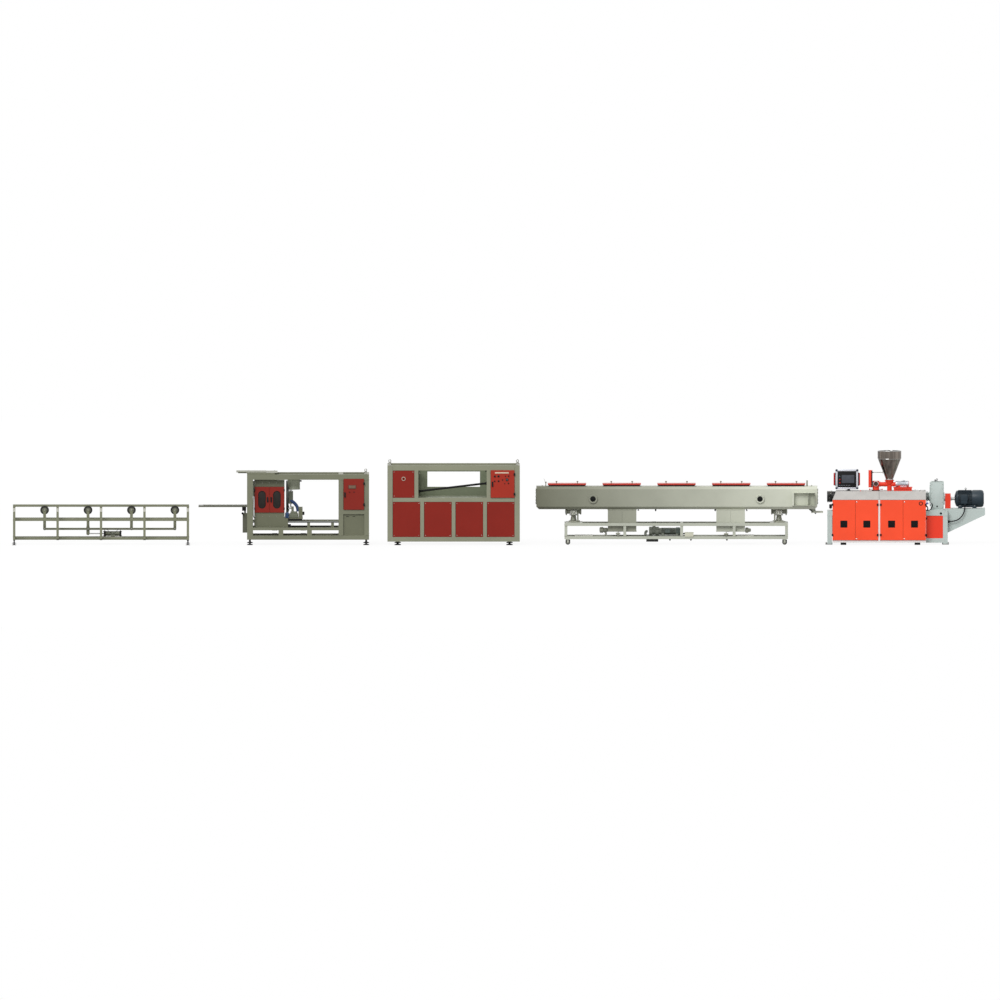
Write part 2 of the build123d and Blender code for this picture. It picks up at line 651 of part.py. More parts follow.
# Haul-off frame: two welded faces joined by cross tubes
hauloff_left = cutter_right + hauloff_gap
hauloff_right = hauloff_left + hauloff_length
hauloff_mid_top = hauloff_mid_z + hauloff_mid_rail
window_left = hauloff_left + hauloff_post + hauloff_side_bay + hauloff_inner_post
window_right = hauloff_right - hauloff_post - hauloff_control_bay - hauloff_inner_post
lower_step = (hauloff_length - 2 * hauloff_post + hauloff_tube) / hauloff_lower_panels
lower_width = lower_step - hauloff_tube
lower_xs = [hauloff_left + hauloff_post + lower_width / 2 + lower_step * index
            for index in range(hauloff_lower_panels)]
upper_bays = (
    (hauloff_left + hauloff_post, hauloff_left + hauloff_post + hauloff_side_bay),
    (window_left, window_right),
    (hauloff_right - hauloff_post - hauloff_control_bay, hauloff_right - hauloff_post),
)
lower_z0 = hauloff_bottom + hauloff_sill
with BuildPart() as hauloff_frame:
    for side in (-1, 1):
        outer_face = side * hauloff_half_depth
        with BuildSketch(Plane.XZ.offset(-outer_face)):
            with Locations(((hauloff_left + hauloff_right) / 2, (hauloff_bottom + hauloff_top) / 2)):
                Rectangle(hauloff_length, hauloff_top - hauloff_bottom)
            for x in lower_xs:
                with Locations((x, (lower_z0 + hauloff_mid_z) / 2)):
                    Rectangle(lower_width, hauloff_mid_z - lower_z0, mode=Mode.SUBTRACT)
            for low, high in upper_bays:
                with Locations(((low + high) / 2, (hauloff_mid_top + hauloff_window_top) / 2)):
                    Rectangle(high - low, hauloff_window_top - hauloff_mid_top, mode=Mode.SUBTRACT)
        extrude(amount=side * hauloff_tube)
    for x in (hauloff_left, hauloff_right - hauloff_tube):
        for bottom, top in ((hauloff_bottom, lower_z0), (hauloff_mid_z, hauloff_mid_top),
                            (hauloff_window_top, hauloff_top)):
            block(x, x + hauloff_tube, -hauloff_half_depth, hauloff_half_depth, bottom, top)
    for x in (hauloff_left + hauloff_foot_inset, hauloff_right - hauloff_foot_inset):
        for y in (-hauloff_half_depth + hauloff_tube, hauloff_half_depth - hauloff_tube):
            block(x - 50, x + 50, y - hauloff_tube, y + hauloff_tube, hauloff_bottom, lower_z0)
            levelling_foot(x, y, hauloff_bottom + 5, hauloff_foot_radius)
hauloff_frame.part.label = "hauloff_frame"
export_step(hauloff_frame.part, "parts/hauloff_frame.step")

# Haul-off panels: sheets set in the frame's bays, the same at the back
panel_front = hauloff_half_depth - 4
with BuildPart() as hauloff_panels:
    for side in (-1, 1):
        near, far = sorted((side * panel_front, side * (panel_front - hauloff_panel_thickness)))
        for x in lower_xs:
            block(x - lower_width / 2, x + lower_width / 2, near, far, lower_z0, hauloff_mid_z)
        low, high = upper_bays[0]
        block(low, high, near, far, hauloff_mid_top, hauloff_window_top)
    low, high = upper_bays[2]
    block(low, high, panel_front - hauloff_panel_thickness, panel_front,
          hauloff_mid_top, hauloff_window_top)
    for x in (hauloff_left + 4, hauloff_right - 4 - hauloff_panel_thickness):
        block(x, x + hauloff_panel_thickness, -hauloff_half_depth + hauloff_tube,
              hauloff_half_depth - hauloff_tube, lower_z0, hauloff_mid_z)
    with Locations(((upper_bays[0][0] + upper_bays[0][1]) / 2, -panel_front, 1395)):
        Cylinder(29, 40, rotation=(90, 0, 0), mode=Mode.SUBTRACT)
hauloff_panels.part.label = "hauloff_panels"
export_step(hauloff_panels.part, "parts/hauloff_panels.step")

# Haul-off inner walls: the deck, the two side linings and the rear wall with its window
inner_front = -hauloff_half_depth + hauloff_tube
inner_rear = hauloff_half_depth - hauloff_tube
with BuildPart() as hauloff_inner_walls:
    block(window_left - 6, window_right + 6, inner_front, inner_rear,
          hauloff_deck_z - 6, hauloff_deck_z)
    for x in (window_left - 6, window_right):
        block(x, x + 6, inner_front, inner_rear, hauloff_deck_z, hauloff_window_top)
        block(x, x + 6, -250, 250, hauloff_deck_z + 60, hauloff_window_top - 60, Mode.SUBTRACT)
    block(window_left, window_right, inner_rear - 6, inner_rear, hauloff_deck_z, hauloff_window_top)
    block(window_left + hauloff_rear_side, window_right - hauloff_rear_side + 50,
          inner_rear - 7, inner_rear + 1, hauloff_rear_sill_z, hauloff_rear_lintel_z, Mode.SUBTRACT)
hauloff_inner_walls.part.label = "hauloff_inner_walls"
export_step(hauloff_inner_walls.part, "parts/hauloff_inner_walls.step")

# Control cabinet behind the haul-off's control door
control_bay_left, control_bay_right = upper_bays[2]
with BuildPart() as hauloff_control_cabinet:
    block(control_bay_left, control_bay_right, inner_front - hauloff_tube + 6, -250,
          hauloff_mid_top, hauloff_window_top)
    block(control_bay_left + sheet, control_bay_right - sheet, inner_front - hauloff_tube + 5,
          -250 - sheet, hauloff_mid_top + sheet, hauloff_window_top - sheet, Mode.SUBTRACT)
hauloff_control_cabinet.part.label = "hauloff_control_cabinet"
export_step(hauloff_control_cabinet.part, "parts/hauloff_control_cabinet.step")

# Control door, hinged at its right edge
hauloff_door_back = -hauloff_half_depth - seat_gap
with BuildPart() as hauloff_control_door:
    block(control_bay_left + 4, control_bay_right - 4,
          hauloff_door_back - cutter_door_thickness, hauloff_door_back,
          hauloff_mid_top + 4, hauloff_window_top + 6)
    with BuildSketch(Plane.XZ.offset(-hauloff_door_back + cutter_door_thickness)):
        with Locations((control_bay_left + 40, (hauloff_mid_top + hauloff_window_top) / 2)):
            SlotOverall(90, 24, rotation=90)
    extrude(amount=14)
    for z in (hauloff_mid_top + 80, hauloff_window_top - 80):
        round_bar((control_bay_right - 4, hauloff_door_back - cutter_door_thickness, z),
                  hinge_radius, hinge_height, "z")
hauloff_control_door.part.label = "hauloff_control_door"
export_step(hauloff_control_door.part, "parts/hauloff_control_door.step")

# Diagonal guide bar across the haul-off's window
bar_start = Vector(window_left, hauloff_bar_y, hauloff_bar_low_z)
bar_end = Vector(window_right, hauloff_bar_y, hauloff_bar_high_z)
bar_run = bar_end - bar_start
with BuildPart() as hauloff_diagonal_bar:
    with BuildSketch(Plane(origin=bar_start, z_dir=bar_run)):
        Circle(hauloff_bar_radius)
    extrude(amount=bar_run.length)
    for low, high, z in ((window_left - 50, window_left, hauloff_bar_low_z),
                         (window_right, window_right + 50, hauloff_bar_high_z)):
        block(low, high, hauloff_bar_y - 100, hauloff_bar_y + 100, z - 100, z + 100, Mode.SUBTRACT)
hauloff_diagonal_bar.part.label = "hauloff_diagonal_bar"
export_step(hauloff_diagonal_bar.part, "parts/hauloff_diagonal_bar.step")

# Tank shell: a folded trough with chamfered edges, open under the lids
tank_left = hauloff_right + tank_gap
tank_right = tank_left + tank_length
tank_mid_z = (tank_bottom + tank_top) / 2
tank_height = tank_top - tank_bottom
tank_first_lid_x = tank_left + tank_first_lid_inset
tank_lid_pitch = (tank_length - tank_first_lid_inset - tank_last_lid_inset) / (tank_lids - 1)
tank_lid_xs = [tank_first_lid_x + tank_lid_pitch * index for index in range(tank_lids)]
tank_sight_xs = (tank_left + tank_sight_insets[0], tank_right - tank_sight_insets[1])
tank_recess_left = tank_right - tank_recess_inset
recess_right = tank_recess_left + tank_recess_length - 40
recess_top = tank_recess_bottom + tank_recess_height


def trough(inset):
    """Return the tank's outline as one solid, set in by the same amount on every side."""
    with BuildPart(mode=Mode.PRIVATE) as outline:
        with Locations((tank_left + tank_length / 2, 0, tank_mid_z)):
            Box(tank_length - 2 * inset, 2 * (tank_half_depth - inset), tank_height - 2 * inset)
        chamfer(outline.edges().filter_by(Axis.X), tank_chamfer)
        chamfer(outline.edges().filter_by(Axis.Y).group_by(Axis.Z)[0], tank_chamfer)
    return outline.part


with BuildPart() as tank_shell:
    add(trough(0))
    add(trough(tank_wall), mode=Mode.SUBTRACT)
    for x in tank_lid_xs:
        block(x - tank_lid_length / 2 + tank_hatch_margin, x + tank_lid_length / 2 - tank_hatch_margin,
              -tank_lid_depth / 2 + tank_hatch_margin, tank_lid_depth / 2 - tank_hatch_margin,
              tank_top - tank_wall - 1, tank_top + 1, Mode.SUBTRACT)
    span_bar((tank_left - 1, 0, pipe_height), (tank_right + 1, 0, pipe_height),
             tank_port_radius, Mode.SUBTRACT)
    for x in tank_sight_xs:
        span_bar((x, -tank_half_depth - 1, tank_sight_z), (x, -tank_half_depth + tank_wall + 1, tank_sight_z),
                 tank_sight_glass_radius, Mode.SUBTRACT)
    block(tank_recess_left, recess_right, -tank_half_depth - tank_recess_depth, -tank_half_depth,
          tank_recess_bottom, recess_top)
    block(tank_recess_left + 40, recess_right - sheet, -tank_half_depth - tank_recess_depth - 1,
          -tank_half_depth - sheet, tank_recess_bottom + sheet, recess_top - sheet, Mode.SUBTRACT)
    for x in tank_lid_xs:
        for hinge_x in (x - tank_lid_length / 3, x + tank_lid_length / 3):
            block(hinge_x - 40, hinge_x + 40, tank_lid_depth / 2 - 12, tank_lid_depth / 2 + 12,
                  tank_top - 1, tank_top + tank_gasket - hinge_radius - seat_gap)
tank_shell.part.label = "tank_shell"
export_step(tank_shell.part, "parts/tank_shell.step")

# Tank lids: a shallow tray on a rubber frame, hinged along the back
tank_lid_face = tank_top + tank_gasket + tank_lid_thickness
for index, x in enumerate(tank_lid_xs, start=1):
    with BuildPart() as tank_lid:
        block(x - tank_lid_length / 2 + 15, x + tank_lid_length / 2 - 15,
              -tank_lid_depth / 2 + 15, tank_lid_depth / 2 - 25,
              tank_top + seat_gap, tank_top + tank_gasket)
        block(x - tank_lid_length / 2, x + tank_lid_length / 2,
              -tank_lid_depth / 2, tank_lid_depth / 2,
              tank_top + tank_gasket, tank_lid_face)
        block(x - tank_lid_length / 2 + 60, x + tank_lid_length / 2 - 60,
              -tank_lid_depth / 2 + 60, tank_lid_depth / 2 - 60,
              tank_top - 1, tank_top + tank_gasket + 8, Mode.SUBTRACT)
        for hinge_x in (x - tank_lid_length / 3, x + tank_lid_length / 3):
            round_bar((hinge_x, tank_lid_depth / 2, tank_top + tank_gasket), hinge_radius,
                      hinge_height, "x")
        for handle_x in (x - tank_handle_offset, x + tank_handle_offset):
            span_bar((handle_x, tank_handle_y, tank_lid_face),
                     (handle_x, tank_handle_y, tank_lid_face + tank_handle_height), tank_handle_radius)
    tank_lid.part.label = f"tank_lid_{index}"
    export_step(tank_lid.part, f"parts/{tank_lid.part.label}.step")

# Sight glasses: a flange ring and a dark pane on the tank's front
with BuildPart() as tank_sight_glasses:
    for x in tank_sight_xs:
        span_bar((x, -tank_half_depth - tank_sight_flange, tank_sight_z), (x, -tank_half_depth, tank_sight_z),
                 tank_sight_flange_radius)
        span_bar((x, -tank_half_depth - tank_sight_flange - 1, tank_sight_z),
                 (x, -tank_half_depth - tank_sight_recess, tank_sight_z),
                 tank_sight_glass_radius, Mode.SUBTRACT)
tank_sight_glasses.part.label = "tank_sight_glasses"
export_step(tank_sight_glasses.part, "parts/tank_sight_glasses.step")

# Water boxes hanging under the tank, over its base frame
tank_base_left = tank_left + tank_base_insets[0]
base_right = tank_right - tank_base_insets[1]
tank_box_xs = (tank_base_left + tank_box_insets[0], base_right - tank_box_insets[1] - tank_box_length)
with BuildPart() as tank_water_boxes:
    for x in tank_box_xs:
        block(x, x + tank_box_length, tank_box_front, tank_box_rear, tank_box_bottom, tank_bottom)
tank_water_boxes.part.label = "tank_water_boxes"
export_step(tank_water_boxes.part, "parts/tank_water_boxes.step")

# Base frame of the tank, with the caster forks
base_half = tank_base_half_depth
base_inner = base_half - tank_base_tube
caster_xs = (tank_base_left + tank_wheel_inset, base_right - tank_wheel_inset)
caster_y = base_half - tank_base_tube / 2
fork_gap = tank_wheel_width / 2 + 5
inner_posts = [tank_base_left + share * (base_right - tank_base_left) for share in tank_base_post_shares]
post_xs = [tank_base_left, *inner_posts, base_right - tank_base_tube]
base_plate_top = tank_base_top + 8
support_xs = (tank_base_left + tank_support_inset, base_right - tank_support_inset)
with BuildPart() as tank_base_frame:
    for side in (-1, 1):
        near, far = sorted((side * base_inner, side * base_half))
        block(tank_base_left, base_right, near, far, tank_base_top - tank_base_tube, tank_base_top)
        block(tank_base_left, base_right, near, far, tank_base_bottom, tank_base_bottom + tank_base_tube)
        for x in post_xs:
            block(x, x + tank_base_tube, near, far, tank_base_bottom, tank_base_top)
    for x in post_xs:
        block(x, x + tank_base_tube, -base_half, base_half,
              tank_base_bottom, tank_base_bottom + tank_base_tube)
    for x in (post_xs[0], post_xs[2], post_xs[-1]):
        block(x, x + tank_base_tube, -base_half, base_half,
              tank_base_top - tank_base_tube, tank_base_top)
    for x in support_xs:
        inward = 1 if x == support_xs[0] else -1
        plate = sorted((x - inward * (tank_support_inset - 30), x + inward * 191))
        block(plate[0], plate[1], -base_half, base_half, tank_base_top, base_plate_top)
    for x in caster_xs:
        for y in (-caster_y, caster_y):
            for side in (-1, 1):
                cheek = sorted((y + side * fork_gap, y + side * (fork_gap + 6)))
                block(x - 20, x + 20, cheek[0], cheek[1], tank_wheel_radius - 20, tank_base_bottom)
            round_bar((x, y, tank_wheel_radius), tank_wheel_axle_radius, 2 * (fork_gap + 6), "y")
            block(x - 45, x + 45, y - fork_gap - 8, y + fork_gap + 8,
                  tank_base_bottom - 8, tank_base_bottom + 5)
tank_base_frame.part.label = "tank_base_frame"
export_step(tank_base_frame.part, "parts/tank_base_frame.step")

# Caster wheels
casters = [(x, y) for x in caster_xs for y in (-caster_y, caster_y)]
for index, (x, y) in enumerate(casters, start=1):
    with BuildPart() as tank_wheel:
        round_bar((x, y, tank_wheel_radius), tank_wheel_radius, tank_wheel_width, "y")
        round_bar((x, y, tank_wheel_radius), tank_wheel_axle_radius + pin_clearance,
                  tank_wheel_width, "y", Mode.SUBTRACT)
    tank_wheel.part.label = f"tank_wheel_{index}"
    export_step(tank_wheel.part, f"parts/{tank_wheel.part.label}.step")

# Adjustable end supports that carry the tank on its base
support_disc_top = base_plate_top + tank_support_disc
support_bar_z = tank_bottom - tank_support_bar_drop
with BuildPart() as tank_supports:
    for x in support_xs:
        span_bar((x, 0, base_plate_top), (x, 0, support_disc_top), tank_support_disc_radius)
        with Locations((x, 0, support_disc_top + tank_support_cone / 2)):
            Cone(70, 45, tank_support_cone)
        span_bar((x, 0, support_disc_top + tank_support_cone - 4), (x, 0, support_bar_z), 45)
        span_bar((x - tank_support_bar_reach, 0, support_bar_z),
                 (x + tank_support_bar_reach, 0, support_bar_z), tank_support_bar_radius)
        block(x - 130, x + 130, -150, 150, tank_bottom - 25, tank_bottom)
tank_supports.part.label = "tank_supports"
export_step(tank_supports.part, "parts/tank_supports.step")

# Pump set on the bottom rails: a floor plate, two pump casings on one motor, and the riser pipe
pump_plate_left = post_xs[2] - tank_pump_plate_reach
pump_plate_z = tank_base_bottom + tank_base_tube
pump_motor_left = pump_plate_left + 70
pump_motor_right = pump_motor_left + tank_pump_motor_length
pump_xs = (pump_plate_left + 110, pump_plate_left + 240)
riser_x = sum(pump_xs) / 2
with BuildPart() as tank_pump_set:
    block(pump_plate_left, post_xs[2] - 6, -base_half, base_half, pump_plate_z, pump_plate_z + 8)
    for x in pump_xs:
        round_bar((x, tank_pump_y, tank_pump_axis_z), tank_pump_radius, tank_pump_width, "x")
    span_bar((pump_motor_left, tank_pump_y, tank_pump_axis_z),
             (pump_motor_right, tank_pump_y, tank_pump_axis_z), tank_pump_motor_radius)
    for x in (pump_motor_right - 370, pump_motor_right - 70):
        block(x - 25, x + 25, tank_pump_y - 70, tank_pump_y + 70, pump_plate_z + 8, tank_pump_axis_z - 25)
    span_bar((riser_x, tank_pump_y, tank_pump_axis_z), (riser_x, tank_pump_y, tank_pump_riser_top), 30)
tank_pump_set.part.label = "tank_pump_set"
export_step(tank_pump_set.part, "parts/tank_pump_set.step")

# Extruder base frame: legs, long beams, the gearbox stand and the motor bracket
cabinet_left = tank_right + extruder_gap
cabinet_right = cabinet_left + cabinet_length
frame_left = cabinet_left - extruder_leg - 9
frame_right = cabinet_right + extruder_right_frame
gearbox_left = cabinet_right + gearbox_gap
gearbox_right = gearbox_left + gearbox_length
motor_left = gearbox_right + motor_gap
motor_right = motor_left + motor_length
bracket_right = motor_right + bracket_overhang
beam_bottom = extruder_beam_top - extruder_beam_height
with BuildPart() as extruder_base_frame:
    for side in (-1, 1):
        y = side * extruder_beam_y
        near, far = y - 50, y + 50
        block(frame_left, frame_left + extruder_leg, near, far, 0, extruder_beam_top)
        block(frame_right - extruder_leg, frame_right, near, far, 0, extruder_beam_top)
        block(frame_left, frame_right, near, far, beam_bottom, extruder_beam_top)
        block(cabinet_right + 2, frame_right, near, far, 40, 133)
        block(frame_left - 30, frame_left + extruder_leg, near - 10, far + 10, 0, 14)
        block(frame_right - extruder_leg - 10, frame_right + 15, near - 10, far + 10, 0, 14)
    for x in (frame_left, frame_right - extruder_leg):
        block(x, x + extruder_leg, -extruder_beam_y, extruder_beam_y, beam_bottom, extruder_beam_top)
    for side in (-1, 1):
        near, far = sorted((side * bracket_half_depth, side * (bracket_half_depth - bracket_plate)))
        with BuildSketch(Plane.XZ.offset(-far)):
            with BuildLine():
                Polyline(
                    (frame_right, bracket_foot_z),
                    (frame_right, bracket_top),
                    (bracket_right, bracket_top),
                    (bracket_right, bracket_nose_z),
                    close=True,
                )
            make_face()
        extrude(amount=bracket_plate)
    block(gearbox_right + gearbox_foot + 4, bracket_right, -bracket_half_depth, bracket_half_depth,
          bracket_top - bracket_plate, bracket_top)
    block(gearbox_right + gearbox_foot + 4, frame_right + bracket_plate,
          -bracket_half_depth, bracket_half_depth, extruder_beam_top, bracket_top)
    block(bracket_right - bracket_plate, bracket_right, -bracket_half_depth, bracket_half_depth,
          bracket_nose_z, bracket_top)
    block(frame_right - extruder_leg, frame_right, -extruder_beam_y, extruder_beam_y,
          bracket_foot_z, bracket_foot_z + extruder_leg)
extruder_base_frame.part.label = "extruder_base_frame"
export_step(extruder_base_frame.part, "parts/extruder_base_frame.step")

# Red side panels on the gearbox stand
with BuildPart() as extruder_side_panels:
    for side in (-1, 1):
        y = side * (extruder_beam_y + 50 - 10)
        block(cabinet_right + 2, frame_right - extruder_leg, y - 3, y + 3, 133, beam_bottom)
extruder_side_panels.part.label = "extruder_side_panels"
export_step(extruder_side_panels.part, "parts/extruder_side_panels.step")

# Machine cabinet: sill, rear wall and ends, open at the front behind the doors
strip_left = cabinet_left + (cabinet_length - cabinet_strip) / 2
strip_right = strip_left + cabinet_strip
with BuildPart() as extruder_cabinet:
    block(cabinet_left, cabinet_right, -cabinet_half_depth, cabinet_half_depth,
          cabinet_sill_z, cabinet_top)
    block(cabinet_left + sheet, cabinet_right - sheet, -cabinet_half_depth - 1,
          cabinet_half_depth - sheet, cabinet_sill_top, cabinet_top + 1, Mode.SUBTRACT)
    block(strip_left, strip_right, -cabinet_half_depth - strip_proud, -cabinet_half_depth + 60,
          cabinet_sill_z, cabinet_top)
    for side in (-1, 1):
        y = side * extruder_beam_y
        block(cabinet_left - 1, cabinet_right + 1, y - 50, y + 50,
              beam_bottom, extruder_beam_top, Mode.SUBTRACT)
    span_bar((cabinet_left - 1, 0, pipe_height), (cabinet_left + sheet + 1, 0, pipe_height),
             barrel_head_radius + 6, Mode.SUBTRACT)
    span_bar((cabinet_right - sheet - 1, 0, pipe_height), (cabinet_right + 1, 0, pipe_height),
             barrel_radius + 6, Mode.SUBTRACT)
    for x in (cabinet_left + cabinet_foot_insets[0], cabinet_right - cabinet_foot_insets[1]):
        for y in (80 - cabinet_half_depth, cabinet_half_depth - 80):
            block(x - 60, x + 60, y - 50, y + 50, 0, cabinet_sill_z)
extruder_cabinet.part.label = "extruder_cabinet"
export_step(extruder_cabinet.part, "parts/extruder_cabinet.step")

# Hood: a folded cover over the barrel, sloping in towards its top
hopper_x = cabinet_left + hopper_from_left
with BuildPart() as extruder_hood:
    with BuildSketch(Plane.XY.offset(cabinet_top)):
        with Locations(((cabinet_left + cabinet_right) / 2, 0)):
            Rectangle(cabinet_length, 2 * cabinet_half_depth)
    with BuildSketch(Plane.XY.offset(hood_top)):
        with Locations(((cabinet_left + hood_slant + cabinet_right) / 2, 0)):
            Rectangle(cabinet_length - hood_slant, 2 * hood_half_top)
    loft()
    with BuildSketch(Plane.XY.offset(cabinet_top - 1)):
        with Locations(((cabinet_left + cabinet_right) / 2, 0)):
            Rectangle(cabinet_length - 4 * sheet, 2 * cabinet_half_depth - 4 * sheet)
    with BuildSketch(Plane.XY.offset(hood_top - sheet)):
        with Locations(((cabinet_left + hood_slant + cabinet_right) / 2, 0)):
            Rectangle(cabinet_length - hood_slant - 4 * sheet, 2 * hood_half_top - 4 * sheet)
    loft(mode=Mode.SUBTRACT)
    span_bar((cabinet_left - 1, 0, pipe_height), (cabinet_left + hood_slant + 10, 0, pipe_height),
             barrel_head_radius + 6, Mode.SUBTRACT)
    span_bar((cabinet_right - 40, 0, pipe_height), (cabinet_right + 1, 0, pipe_height),
             barrel_radius + 6, Mode.SUBTRACT)
    span_bar((hopper_x, 0, hood_top - 50), (hopper_x, 0, hood_top + 1), feeder_bore_radius + 2, Mode.SUBTRACT)
extruder_hood.part.label = "extruder_hood"
export_step(extruder_hood.part, "parts/extruder_hood.step")

# Four doors with a square louvred vent
leaf = (strip_left - cabinet_left - door_gap) / 2
door_lefts = (cabinet_left, cabinet_left + leaf + door_gap, strip_right, strip_right + leaf + door_gap)
for index, low in enumerate(door_lefts, start=1):
    high = low + leaf
    with BuildPart() as extruder_door:
        block(low + seat_gap, high - seat_gap, -cabinet_half_depth - seat_gap - door_thickness,
              -cabinet_half_depth - seat_gap, cabinet_sill_top + 2, cabinet_top - 2)
        block((low + high - door_vent) / 2, (low + high + door_vent) / 2,
              -cabinet_half_depth - door_thickness - 1, -cabinet_half_depth - door_thickness + 8,
              door_vent_z - door_vent / 2, door_vent_z + door_vent / 2, Mode.SUBTRACT)
        for z in (cabinet_sill_top + 110, cabinet_top - 100):
            round_bar((low + seat_gap if index in (1, 3) else high - seat_gap,
                       -cabinet_half_depth - seat_gap - door_thickness, z),
                      hinge_radius, hinge_height, "z")
    extruder_door.part.label = f"extruder_door_{index}"
    export_step(extruder_door.part, f"parts/{extruder_door.part.label}.step")

# Barrel, its die head at the left and the link to the gearbox
with BuildPart() as extruder_barrel:
    span_bar((cabinet_left + hood_slant, 0, pipe_height), (gearbox_left, 0, pipe_height), barrel_radius)
    span_bar((cabinet_left + 67 - barrel_head_length, 0, pipe_height),
             (cabinet_left + 67, 0, pipe_height), barrel_head_radius)
    span_bar((cabinet_left + 40, 0, pipe_height), (cabinet_left + hood_slant, 0, pipe_height), barrel_radius)
    for x in (cabinet_left + cradle_insets[0], cabinet_right - cradle_insets[1]):
        block(x - 40, x + 40, -extruder_beam_y - 50, extruder_beam_y + 50,
              extruder_beam_top, extruder_beam_top + 30)
        block(x - 20, x + 20, -100, 100, extruder_beam_top + 30, pipe_height)
    span_bar((cabinet_left + 67 - barrel_head_length, 0, pipe_height),
             (cabinet_left + 67, 0, pipe_height), 40, Mode.SUBTRACT)
extruder_barrel.part.label = "extruder_barrel"
export_step(extruder_barrel.part, "parts/extruder_barrel.step")

# Gearbox
with BuildPart() as extruder_gearbox:
    block(gearbox_left, gearbox_right, -gearbox_half_depth, gearbox_half_depth,
          extruder_beam_top + gearbox_foot, gearbox_top)
    block(gearbox_left - gearbox_foot, gearbox_right + gearbox_foot,
          -extruder_beam_y - 50, extruder_beam_y + 50,
          extruder_beam_top, extruder_beam_top + gearbox_foot)
    span_bar((gearbox_right, 0, drive_axis_z), (motor_left - motor_shaft_length, 0, drive_axis_z), 40)
extruder_gearbox.part.label = "extruder_gearbox"
export_step(extruder_gearbox.part, "parts/extruder_gearbox.step")

# Coupling guard: an inverted channel over the coupling
guard_low = gearbox_right + coupling_guard_gap
guard_high = guard_low + coupling_guard_length
guard_inner = coupling_guard_half_depth - coupling_guard_sheet
with BuildPart() as extruder_coupling_guard:
    block(guard_low, guard_high, -coupling_guard_half_depth, coupling_guard_half_depth,
          bracket_top, coupling_guard_top)
    block(guard_low - 1, guard_high + 1, -guard_inner, guard_inner,
          bracket_top - 1, coupling_guard_top - coupling_guard_sheet, Mode.SUBTRACT)
extruder_coupling_guard.part.label = "extruder_coupling_guard"
export_step(extruder_coupling_guard.part, "parts/extruder_coupling_guard.step")

# Drive motor: finned body, fan cowl, terminal box and feet
terminal_box_left = motor_left + terminal_box_inset
cable_exit_x = motor_left + cable_exit_inset
with BuildPart() as extruder_motor:
    span_bar((motor_left, 0, drive_axis_z), (motor_right, 0, drive_axis_z), motor_radius)
    span_bar((motor_left - motor_shaft_length, 0, drive_axis_z), (motor_left, 0, drive_axis_z),
             motor_shaft_radius)
    block(terminal_box_left, terminal_box_left + terminal_box_length, terminal_box_front, -100,
          terminal_box_bottom, terminal_box_top)
    for inset in motor_foot_insets:
        block(motor_left + inset, motor_left + inset + motor_foot_length,
              -motor_foot_half_depth, motor_foot_half_depth, bracket_top, bracket_top + 80)
    span_bar((cable_exit_x, cable_y, cable_exit_z), (cable_exit_x, cable_y, terminal_box_bottom), 20)
extruder_motor.part.label = "extruder_motor"
export_step(extruder_motor.part, "parts/extruder_motor.step")

# Motor cable, from the terminal box's gland to the gearbox stand
cable_points = [
    (cable_exit_x, cable_y, cable_exit_z), (cable_exit_x, cable_y, 700), (cable_exit_x - 91, cable_y, 548),
    (frame_right + 133, cable_y, cable_end_z), (frame_right, cable_y, cable_end_z),
]
cable_radii = []
for before, corner, after in zip(cable_points, cable_points[1:], cable_points[2:]):
    run_in = Vector(corner) - Vector(before)
    run_out = Vector(after) - Vector(corner)
    turn = radians(run_in.get_angle(run_out))
    cable_radii.append(0.45 * min(run_in.length, run_out.length) / tan(turn / 2))
print("cable radii", [round(radius) for radius in cable_radii])
with BuildPart() as extruder_motor_cable:
    with BuildLine() as cable_path:
        FilletPolyline(*cable_points, radius=cable_radii)
    with BuildSketch(Plane(origin=cable_path.line @ 0, z_dir=cable_path.line % 0)):
        Circle(cable_radius)
    sweep()
extruder_motor_cable.part.label = "extruder_motor_cable"
export_step(extruder_motor_cable.part, "parts/extruder_motor_cable.step")
print("cable length", round(sum(edge.length for edge in cable_path.edges())))

# Hopper: a stainless shell, a cylinder over a cone, open at both ends
with BuildPart() as extruder_hopper:
    with BuildSketch(Plane.XZ):
        with BuildLine():
            Polyline(
                (hopper_x + hopper_outlet_radius, hopper_outlet_z),
                (hopper_x + hopper_radius, hopper_shoulder_z),
                (hopper_x + hopper_radius, hopper_top),
                (hopper_x + hopper_radius - hopper_wall, hopper_top),
                (hopper_x + hopper_radius - hopper_wall, hopper_shoulder_z),
                (hopper_x + hopper_outlet_radius - hopper_wall, hopper_outlet_z),
                close=True,
            )
        make_face()
    revolve(axis=Axis((hopper_x, 0, 0), (0, 0, 1)))
extruder_hopper.part.label = "extruder_hopper"
export_step(extruder_hopper.part, "parts/extruder_hopper.step")

# Feed cup: the funnel and neck that lead the powder from the hopper down into the barrel
with BuildPart() as extruder_feed_cup:
    with Locations((hopper_x, 0, (feeder_axis_z + hopper_outlet_z) / 2)):
        Cone(60, 95, hopper_outlet_z - feeder_axis_z)
    span_bar((hopper_x, 0, hood_top), (hopper_x, 0, feeder_axis_z), feeder_neck_radius)
    span_bar((hopper_x, 0, hood_top - 1), (hopper_x, 0, hopper_outlet_z + 1),
             feeder_bore_radius, Mode.SUBTRACT)
extruder_feed_cup.part.label = "extruder_feed_cup"
export_step(extruder_feed_cup.part, "parts/extruder_feed_cup.step")

